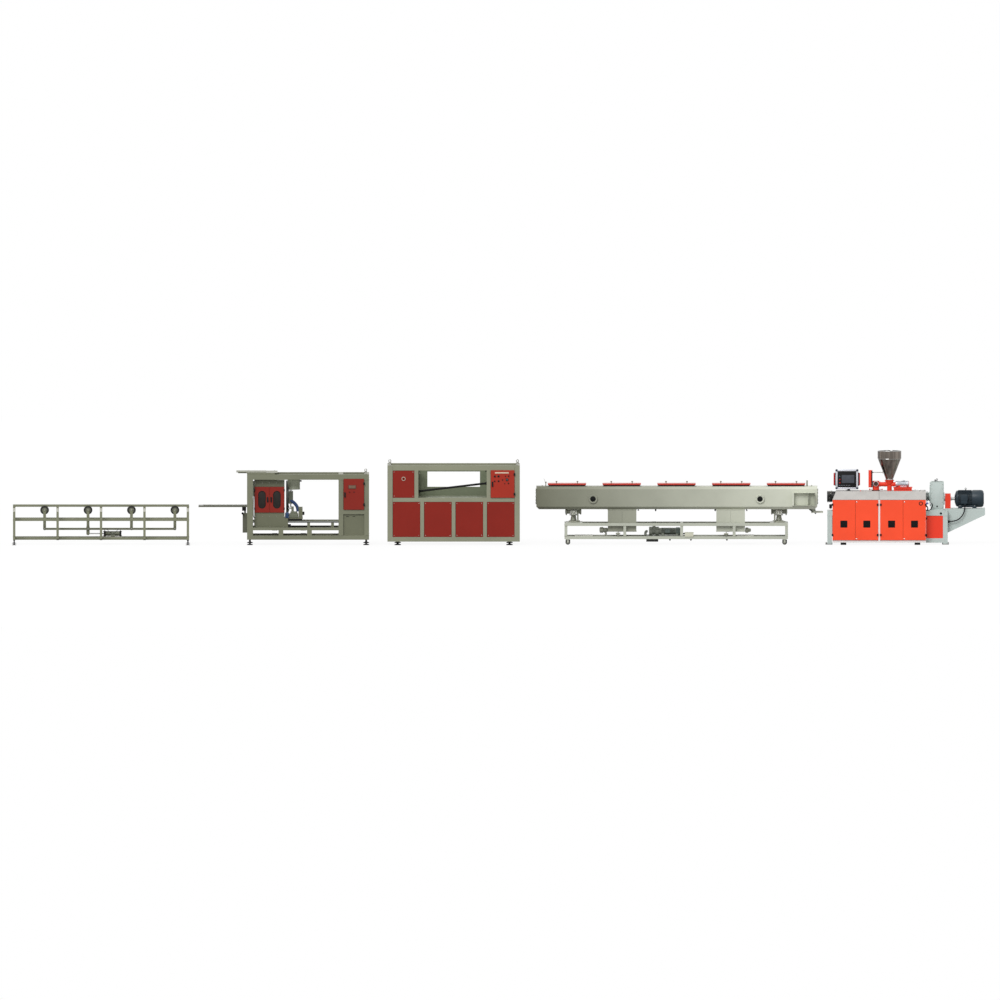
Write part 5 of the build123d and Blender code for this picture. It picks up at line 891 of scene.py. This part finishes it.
# Machine cabinet. White folded sill and strips round four orange doors, each with a black louvred vent,
# black hinges and small keyed locks; the hood over the barrel is satin sheet.
dress(enamel("cabinet_white", (226, 224, 222), roughness=0.35, wear=0.2, below=(0.0505, (28, 27, 27))),
      "extruder_cabinet")
dress(worked_metal("hood_sheet", (177, 174, 170), roughness=0.42, stretch=(0.04, 1, 1), metallic=0.25),
      "extruder_hood")
door_gap, left_bay_x, right_bay_x = 0.004, 7.014, 8.0155
leaf = (7.9735 - left_bay_x - door_gap) / 2
door_lows = [bay + extra for bay in (left_bay_x, right_bay_x) for extra in (0.0, leaf + door_gap)]
door_front, vent_z, half = -0.5003, 0.439, 0.0705
hinge_inset = 0.012
lock = [(0.013, 0), (0.013, 0.003), (0.009, 0.005), (0.004, 0.005)]
for i, low in enumerate(door_lows, 1):
    door, middle = f"extruder_door_{i}", low + leaf / 2
    dress(enamel(f"door_orange_{i}", (244, 80, 46), roughness=0.3, wear=0.2, dust=0.04), door)
    build(f"door_vent_{i}", [
        slab((middle - half, door_front + 0.0055, vent_z - half),
             (middle + half, door_front + 0.0075, vent_z + half), 0.002, Y, 0.0005),
        [bar((middle - half + 0.004, door_front + 0.001, z), (middle + half - 0.004, door_front + 0.001, z),
             0.010, 0.005, 0.001) for z in np.arange(vent_z - half + 0.010, vent_z + half - 0.005, 0.0135)],
        band_loop(middle - half, middle + half, door_front, vent_z - half, vent_z + half, 0.003)],
          black_plastic, door)
    hinge_x = (low, low + leaf - hinge_inset, low + hinge_inset, low + leaf)[i - 1]
    build(f"door_hinges_{i}", [hinge_cover(hinge_x, door_front, z, 0.046) for z in (0.21, 0.847)],
          black_plastic, door)
    if i in (2, 4):
        locks = [turned((low + 0.028, door_front + 0.001, z), -Y, lock, 24) for z in (0.128, 0.902)]
        build(f"door_locks_{i}", locks, chrome, door)
ring = [(0.027, 0), (0.042, 0), (0.042, 0.005), (0.035, 0.008), (0.027, 0.006)]
build("door_port_ring", [turned((8.869, door_front, 0.872), -Y, ring, 40, closed=True)],
      black_plastic, "extruder_door_4")
hood_top = 1.1205
caps = [turned((x, y, hood_top), Z, [(0.011, 0), (0.011, 0.006), (0.006, 0.010)], 16)
        for x in (7.30, 8.75) for y in (-0.29, 0.29)]
build("hood_lifting_eyes", [caps, [eye_bolt(x, -0.25, 1.121, 0.009) for x in (8.849, 8.94)]],
      zinc)
build("hood_red_cap", [turned((7.605, -0.28, hood_top), Z, [(0.012, 0), (0.013, 0.010), (0.009, 0.018)], 20)],
      bright_orange)
build("hood_seams", [bar((7.992, -0.4805, 0.950), (7.992, -0.3305, hood_top), 0.004, 0.003),
                     bar((7.02, -0.4815, 0.9475), (8.97, -0.4815, 0.9475), 0.004, 0.004)],
      black_zinc)

# Barrel. A black oiled die head with clamped heater bands and socket bolts, and a bright link with its
# flange towards the gearbox; beside it a blue and white connector pair and dark coolant hoses.
dress(worked_metal("oiled_iron", (38, 38, 38), roughness=0.35, metallic=0.5), "extruder_barrel")
heater_xs, collar_x, coolant_y, coolant_z = (6.905, 6.945), 6.985, -0.33, 0.868
heater = [(0.1075, 0), (0.114, 0.002), (0.114, 0.028), (0.1075, 0.030)]
collar = [(0.1075, 0), (0.121, 0.002), (0.121, 0.020), (0.1075, 0.022)]
heater_plug = [(0.030, 0), (0.030, 0.04), (0.022, 0.046)]
build("die_head_bands", [
    [turned((x, 0, pipe_z), X, heater, 44, closed=True) for x in heater_xs],
    [slab((x + 0.002, -0.020, 0.878), (x + 0.028, 0.020, 0.894), 0.004) for x in heater_xs],
    turned((collar_x, 0, pipe_z), X, collar, 44, closed=True),
    [turned((6.955, -0.105, z), -Y, heater_plug, 24) for z in (0.955, 1.035)]],
      black_zinc)
build("die_head_bolts", hexes([(collar_x, p, pipe_z + o) for p, o in around(12, 0.114)], -X, 0.016, 0.008),
      zinc)
links = ((8.985, [(0.0805, 0), (0.112, 0.002), (0.112, 0.020), (0.0805, 0.022)]),
         (9.030, [(0.0805, 0), (0.098, 0.002), (0.098, 0.042), (0.0805, 0.042)]))
build("barrel_link_flanges", [turned((x, 0, pipe_z), X, profile, 44, closed=True) for x, profile in links],
      machine_green)
build("barrel_link_bolts", hexes([(9.007, p, pipe_z + o) for p, o in around(10, 0.098)], X, 0.016, 0.009),
      zinc)
for name, x, colour, profile, count in (
        ("blue", 8.980, (36, 84, 190), [(0.012, 0), (0.022, 0.006), (0.024, 0.022), (0.018, 0.036)], 24),
        ("white", 9.016, (220, 222, 224), [(0.016, 0), (0.016, 0.03), (0.011, 0.036), (0.011, 0.06)], 20)):
    build(f"coolant_connector_{name}", [turned((x, coolant_y, coolant_z), X, profile, count)],
          moulded(f"connector_{name}", colour, roughness=0.4))
coolant = [strand([(9.07, coolant_y, coolant_z), (9.10, coolant_y, 0.860), (9.115, -0.31, 0.82),
                   (9.09, -0.28, 0.76), (9.05, -0.27, 0.712)], 0.009)]
coolant += [strand([(8.975, -0.30 + 0.02 * k, 0.83 - 0.02 * k), (9.00, -0.30, 0.80),
                    (9.015, -0.29, 0.765 - 0.01 * k), (9.00, -0.27, 0.712)], 0.011) for k in range(3)]
build("coolant_hoses", coolant, air_black)

# Gearbox. A cast box with a machined foot, bolted end covers, a lifting eye, a breather and an oil glass.
gearbox_top = 1.3115
build("gearbox_covers", [
    slab((9.052, -0.15, 0.86), (9.0745, 0.15, 1.24), 0.03, X, 0.004),
    slab((9.3505, -0.13, 0.83), (9.366, 0.13, 1.08), 0.03, X, 0.004),
    slab((9.085, -0.206, 0.76), (9.340, -0.1995, 1.285), 0.012, Y, 0.002),
    slab((9.10, -0.15, gearbox_top), (9.325, 0.15, gearbox_top + 0.010), 0.012),
    [slab((9.056, -0.18, z), (9.076, 0.18, z + 0.028), 0.006) for z in (0.80, 1.262)]],
      machine_green)
cover_bolts = [(x, -0.2065, z) for x in (9.098, 9.327) for z in np.linspace(0.78, 1.265, 6)]
build("gearbox_bolts", hexes(cover_bolts, -Y, 0.013, 0.006), zinc)
breather = [(0.014, 0), (0.014, 0.02), (0.018, 0.022), (0.018, 0.034)]
oil_glass = [(0.016, 0), (0.016, 0.008), (0.012, 0.010)]
build("gearbox_fittings", [
    eye_bolt(9.205, 0, gearbox_top + 0.010, 0.016),
    turned((9.17, -0.08, gearbox_top + 0.010), Z, breather, 20),
    turned((9.21, -0.206, 0.80), -Y, oil_glass, 24)], black_zinc)
build("coupling_guard_bolts", [hexes([(x, side * 0.1405, z)], side * Y, 0.014, 0.006)
                               for x in (9.392, 9.480) for z in (0.79, 1.03) for side in (-1, 1)],
      zinc)

# Drive motor. A dark ribbed frame between two end bells, with a smooth fan cowl, a terminal box on its
# side, a lifting eye and cast feet. It stands for the plain solid of the motor.
motor_dark = enamel("motor_enamel", (42, 54, 62), roughness=0.38, wear=0.35, dust=0.12)
motor_z, cowl_x, motor_feet = 0.955, 10.1885, (9.65, 9.95)
body_profile = [(0.030, 9.516), (0.030, 9.575), (0.060, 9.578), (0.110, 9.590), (0.150, 9.606),
                (0.166, 9.622), (0.170, 9.645), (0.163, 9.650), (0.163, 9.935), (0.172, 9.940),
                (0.176, 9.952), (0.181, 9.965), (0.181, 10.130), (0.174, 10.160), (0.150, 10.184),
                (0.060, 10.1895)]
build("motor_frame", [turned((0, 0, motor_z), X, body_profile, 56)], motor_dark,
      replaces=["extruder_motor"])
ribs = []
all_round = around(40, 1.0)
for p, o in all_round[:23] + all_round[37:]:
    out, beside = np.array((0, p, o)), np.array((0, -o, p))
    section = ((0.160, -0.0028), (0.160, 0.0028), (0.1795, 0.0016), (0.1795, -0.0016))
    rib = np.array([out * r + beside * half for r, half in section])
    ribs.append(solid([np.array((x, 0, motor_z)) + rib for x in (9.652, 9.934)]))
build("motor_ribs", ribs, motor_dark)
build("motor_box_and_feet", [
    slab((9.711, -0.265, 0.857), (9.846, -0.15, 1.040), 0.012),
    slab((9.705, -0.268, 0.925), (9.852, -0.252, 1.046), 0.010, Y, 0.004),
    [slab((x, y, 0.7545), (x + 0.09, y + 0.07, 0.80), 0.010) for y in (-0.160, 0.09) for x in motor_feet],
    slab((9.655, -0.12, 0.775), (10.035, 0.12, 0.82), 0.012),
    turned((9.795, -0.225, 0.8585), -Z, [(0.022, 0), (0.022, 0.010), (0.017, 0.0205)], 24)],
      motor_dark)
grille = [turned((cowl_x, 0, motor_z), X, [(r, 0), (r + 0.005, 0), (r + 0.005, 0.004), (r, 0.004)], 48, True)
          for r in (0.045, 0.07, 0.095, 0.12)]
grille += [bar((10.188, -p, motor_z - o), (10.188, p, motor_z + o), 0.006, 0.006)
           for p, o in around(6, 0.13)[:3]]
build("motor_cowl_grille", grille, black_zinc)
build("motor_eye", eye_bolt(9.81, 0, 1.128, 0.016), black_zinc)
foot_bolts = [(x + 0.045, y, 0.80) for x in motor_feet for y in (-0.125, 0.125)]
bell_bolts = [(9.578, p, motor_z + o) for p, o in around(6, 0.095)]
build("motor_bolts", [hexes(foot_bolts, Z, 0.022, 0.012), hexes(bell_bolts, -X, 0.014, 0.006)],
      zinc)
build("drive_shaft_sleeve", [
    turned((9.498, 0, motor_z), X, [(0.045, 0), (0.045, 0.012), (0.034, 0.016), (0.034, 0.075)], 32),
    turned((9.352, 0, motor_z), X, [(0.052, 0), (0.052, 0.024)], 32)], chrome)

# Motor cable. A black rubber cable from the terminal box's gland down to the gearbox stand, 592 mm long;
# it is drawn as a fixed curve through five points between its two ends.
cable_points = [(9.795, -0.225, 0.837), (9.795, -0.225, 0.700), (9.704, -0.225, 0.548),
                (9.566, -0.225, 0.481), (9.433, -0.225, 0.481)]
cable_line = bpy.data.curves.new("motor_cable", "CURVE")
cable_line.dimensions = "3D"
cable_line.bevel_depth = 0.0125
cable_line.bevel_resolution = 5
cable_line.resolution_u = 24
cable_line.use_fill_caps = True
spline = cable_line.splines.new("NURBS")
spline.points.add(len(cable_points) - 1)
for point, position in zip(spline.points, cable_points):
    point.co = (*position, 1.0)
spline.order_u = 3
spline.use_endpoint_u = True
cable = bpy.data.objects.new("motor_cable", cable_line)
bpy.context.scene.collection.objects.link(cable)
cable_line.materials.append(moulded("cable_black", (30, 30, 33), roughness=0.5))
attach(cable, "root")
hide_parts("extruder_motor_cable")
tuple(cable_points[0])
gland = [(0.030, 0), (0.030, 0.010), (0.022, 0.013), (0.0175, 0.040)]
build("motor_cable_gland", [turned((9.437, -0.225, 0.481), X, gland, 24)], black_plastic)

# Hopper. Polished stainless sheet with painted reflections in upright light and dark bands, a drum rolled
# over a cone, with a wired rim, a weld seam up each side and a clamp ring at the outlet.
polished = worked_metal("polished_stainless", (112, 105, 98), roughness=0.16,
                        stretch=(1, 1, 0.05), scale=60.0)
tree = polished.node_tree
colour = tree.nodes["Principled BSDF"].inputs["Base Color"]
# Upright bands from 0.55 to 1.9 times the colour, multiplied in round the hopper, are painted reflections of
# the polished sheet.
drawn = wire(tree, "Mapping", {"Vector": object_place(tree), "Scale": (9.0, 9.0, 0.3)}).outputs[0]
painted_reflection_bands = scaled(tree, noise(tree, drawn, 1.0, 2.0), 0.55, 1.9, start=0.36, stop=0.64)
tree.links.new(blend_colour(tree, 1.0, colour.links[0].from_socket, painted_reflection_bands, "MULTIPLY"), colour)
dress(polished, "extruder_hopper")
hopper_x = 8.209
rim_wire = [(0.2415 + p, 1.957 + o) for p, o in around(10, 0.007)]
shoulder = [(0.2412 + p, 1.790 + o) for p, o in around(8, 0.003)]
outlet = [(0.071, 1.352), (0.086, 1.352), (0.086, 1.366), (0.076, 1.366)]
build("hopper_rim_and_bands", [turned((hopper_x, 0, 0), Z, profile, 72, closed=True)
                               for profile in (rim_wire, shoulder, outlet)], chrome)
build("hopper_seams", [bar((x, 0, 1.795), (x, 0, 1.952), 0.004, 0.010)
                       for x in (hopper_x - 0.2425, hopper_x + 0.2425)], polished)

# Feeder. Cast red body with a chrome sight port, a black flange with two red knobs, a bright drive on a
# louvred tray and the tall belt guard with its dark back cover, tied to the hopper by a rod.
feeder_x, port_z, knob_z, tie_z = 7.924, 1.271, 1.150, 1.505
port = [(0.0375, 0), (0.0375, -0.003), (0.045, -0.012), (0.056, -0.010), (0.057, 0.004), (0.0375, 0.004)]
build("sight_port_ring", [turned((feeder_x, -0.090, port_z), Y, port, 40, closed=True)], chrome)
port_pane = [(0.0375, 0), (0.0375, 0.004), (0.02, 0.006)]
build("sight_port_pane", [turned((feeder_x, -0.0625, port_z), -Y, port_pane, 36)],
      moulded("port_pane", (70, 60, 56), roughness=0.12, grain=20.0, bump=0.005))
flange_profile = [(0.0885, 0), (0.090, 0.003), (0.090, 0.012), (0.0885, 0.0145)]
flange = [turned((feeder_x, 0, 1.1215), Z, flange_profile, 44)]
flange += [bar((feeder_x + side * 0.08, 0, knob_z), (feeder_x + side * 0.128, 0, knob_z), 0.010, 0.010)
           for side in (-1, 1)]
build("feeder_black_flange", flange, black_zinc)
red_knob = [(0.008, 0), (0.014, 0.004), (0.014, 0.018), (0.008, 0.022)]
neck_ring = [(0.045, 0), (0.057, 0.002), (0.057, 0.014), (0.045, 0.016)]
build("feeder_red_castings", [
    [turned((feeder_x + side * 0.122, 0, knob_z), side * X, red_knob, 20) for side in (-1, 1)],
    turned((hopper_x, 0, 1.330), Z, [(0.094, 0), (0.101, 0.004), (0.101, 0.014), (0.088, 0.0165)], 44),
    [turned((x, 0, 1.255), X, neck_ring, 36, closed=True) for x in (8.005, 8.110)],
    turned((feeder_x, 0, 1.310), Z, [(0.0705, 0), (0.076, 0.002), (0.076, 0.014), (0.060, 0.018)], 36),
    slab((8.288, -0.122, 1.186), (8.692, 0.122, 1.1995), 0.006),
    slab((7.771, -0.0925, 1.195), (7.828, 0.0925, 1.5525), 0.020, Y, 0.002)], bright_orange)
louvres = [slab((x, -0.1115, 1.142), (x + 0.030, -0.1085, 1.150), 0.003, Y, 0.0005)
           for x in np.arange(8.335, 8.64, 0.042)]
build("feeder_dark_cover", [louvres, slab((7.828, -0.0915, 1.197), (7.853, 0.0915, 1.547), 0.010, Y, 0.002)],
      black_plastic)
drive_z = 1.262
drive_body = [(0.050, -0.014), (0.062, -0.012), (0.064, 0.004), (0.064, 0.060), (0.0608, 0.066),
              (0.0608, 0.215)]
drive_fin = [(0.0605, 0), (0.065, 0.001), (0.065, 0.003), (0.0605, 0.004)]
drive_end = [(0.0605, 0), (0.0655, 0.003), (0.0655, 0.048), (0.050, 0.058), (0.02, 0.060)]
build("feeder_drive", [turned((8.352, 0, drive_z), X, drive_body, 36),
                       [turned((x, 0, drive_z), X, drive_fin, 36) for x in np.arange(8.445, 8.56, 0.012)],
                       turned((8.562, 0, drive_z), X, drive_end, 36),
                       slab((8.47, -0.03, 1.318), (8.54, 0.03, 1.340), 0.008),
                       slab((8.44, -0.075, 1.196), (8.57, 0.075, 1.215), 0.006)],
      worked_metal("drive_silver", (188, 192, 198), roughness=0.3, metallic=0.7))
tie = [turned((7.852, 0, tie_z), X, [(0.016, 0), (0.016, 0.010), (0.010, 0.014)], 20),
       turned((8.062, 0, tie_z), X, [(0.020, 0), (0.020, 0.012)], 20),
       turned((7.858, 0, tie_z), X, [(0.0084, 0), (0.0084, 0.208)], 16)]
tie += hexes([(x, -0.0925, z) for x in (7.782, 7.816) for z in (1.225, 1.52)], -Y, 0.012, 0.005)
build("feeder_tie_rod_ends", tie, zinc)

# Control box. A frame of rounded aluminium profile with corner pieces round a black front, a grey screen,
# a column of red and black buttons, and red grips at the sides, on a black swivel neck.
box = "extruder_control_box"
x0, x1, z0, z1, half = 7.036, 7.592, 1.153, 1.569, 0.080
button_y, button_x = -half + 0.006, 7.166
silver = worked_metal("aluminium_profile", (206, 208, 216), roughness=0.34, metallic=0.45)
profile_bars = [slab((x0 + 0.060, -half, z), (x1 - 0.050, half, z + 0.040), 0.014, X, 0.002)
                for z in (z0, z1 - 0.040)]
profile_bars += [slab((x, -half, z0 + 0.035), (x + 0.044, half, z1 - 0.035), 0.014)
                 for x in (x0 + 0.044, x1 - 0.082)]
build("control_box_frame", profile_bars, silver, box, replaces=[box])
corners = [slab((x, -half - 0.001, z), (x + 0.052, half + 0.001, z + 0.046), 0.018, Y, 0.006)
           for x in (x0 + 0.038, x1 - 0.086) for z in (z0, z1 - 0.046)]
build("control_box_corners", corners, moulded("corner_grey", (60, 66, 78), roughness=0.45),
      box)
build("control_box_front", [
    slab((x0 + 0.070, -half + 0.006, z0 + 0.030), (x1 - 0.060, half - 0.006, z1 - 0.030), 0.010),
    turned((7.353, 0, 1.1213), Z, [(0.046, 0), (0.046, 0.010), (0.030, 0.014), (0.030, 0.0325)], 28),
    slab((x0 + 0.146, -half - 0.004, 1.262), (x1 - 0.104, -half + 0.008, 1.476), 0.006, Y, 0.003),
    [slab((x, -half + 0.004, 1.225), (x + 0.016, half - 0.004, 1.502), 0.006)
     for x in (x0 + 0.026, x1 - 0.038)]],
      black_plastic, box)
build("control_box_screen", [slab((7.207, -half - 0.0058, 1.286), (7.470, -half - 0.002, 1.452),
                                  0.003, Y, 0.001)],
      moulded("screen_grey", (72, 76, 84), roughness=0.12, grain=20.0, bump=0.004), box)
grips = [slab((low, -half + 0.010, 1.235), (high, half - 0.010, 1.492), 0.012)
         for low, high in ((x0, x0 + 0.034), (x1 - 0.030, x1))]
grips += [turned((button_x, button_y, z), -Y, [(0.014, 0), (0.014, 0.014), (0.010, 0.018)], 24)
          for z in (1.357, 1.289)]
build("control_box_grips", grips, moulded("grip_red", (176, 34, 34), roughness=0.4), box)
arms = [slab((x, -0.03, z), (x + 0.012, 0.03, z + 0.022), 0.004)
        for x in (x0 + 0.036, x1 - 0.044) for z in (1.25, 1.455)]
arms += [turned((button_x, button_y, z), -Y, [(0.010, 0), (0.010, 0.012), (0.007, 0.015)], 20)
         for z in (1.425, 1.235)]
arms += [turned((7.20 + 0.035 * k, button_y, 1.235), -Y, [(0.009, 0), (0.009, 0.010)], 20) for k in range(6)]
build("control_box_arms", arms, moulded("arm_grey", (112, 116, 124), roughness=0.4), box)

# Stage. A pale floor under a plain white surround, one broad soft lamp from the front left and above, and
# a long lens far away at the height of the machines.
floor_mesh = bpy.data.meshes.new("floor")
floor_mesh.from_pydata([(-60, -40, 0), (60, -40, 0), (60, 60, 0), (-60, 60, 0)], [], [(0, 1, 2, 3)])
floor = bpy.data.objects.new("floor", floor_mesh)
bpy.context.scene.collection.objects.link(floor)
floor_paint, tree, shader = new_material("floor_pale")
shader.inputs["Roughness"].default_value = 0.8
white = wire(tree, "Emission", {"Color": (1, 1, 1, 1), "Strength": 1.0})
camera_ray = wire(tree, "LightPath").outputs["Is Camera Ray"]
seen = calculate(tree, "MULTIPLY", camera_ray, 0.93)
tree.links.new(scaled(tree, camera_ray, 0.42, 0.9), shader.inputs["Base Color"])
mixed = wire(tree, "MixShader", {0: seen, 1: shader.outputs[0], 2: white.outputs[0]})
tree.links.new(mixed.outputs[0], tree.nodes["Material Output"].inputs["Surface"])
floor_mesh.materials.append(floor_paint)
world = bpy.data.worlds.new("surround")
bpy.context.scene.world = world
world.use_nodes = True
tree = world.node_tree
ray = wire(tree, "LightPath").outputs
direct = calculate(tree, "ADD", ray["Is Camera Ray"], ray["Is Glossy Ray"], clamp=True)
direct = calculate(tree, "ADD", direct, ray["Is Transmission Ray"], clamp=True)
tree.links.new(scaled(tree, direct, 0.78), tree.nodes["Background"].inputs["Strength"])
tree.nodes["Background"].inputs["Color"].default_value = (1, 1, 1, 1)
sun = bpy.data.lights.new("soft_lamp", "SUN")
sun.energy = 1.9
sun.angle = radians(30)
lamp = bpy.data.objects.new("soft_lamp", sun)
lamp.rotation_euler = (radians(48), 0, radians(-24))
bpy.context.scene.collection.objects.link(lamp)
lens = bpy.data.cameras.new("camera")
lens.type = "ORTHO"
lens.ortho_scale = 21.0
lens.clip_end = 200.0
camera = bpy.data.objects.new("camera", lens)
tilt, reach = radians(2.5), 40.0
camera.location = (0.031, -reach * cos(tilt), 0.924 + reach * sin(tilt))
camera.rotation_euler = (pi / 2 - tilt, 0, 0)
bpy.context.scene.collection.objects.link(camera)
bpy.context.scene.camera = camera
bpy.context.scene.view_settings.view_transform = "Standard"
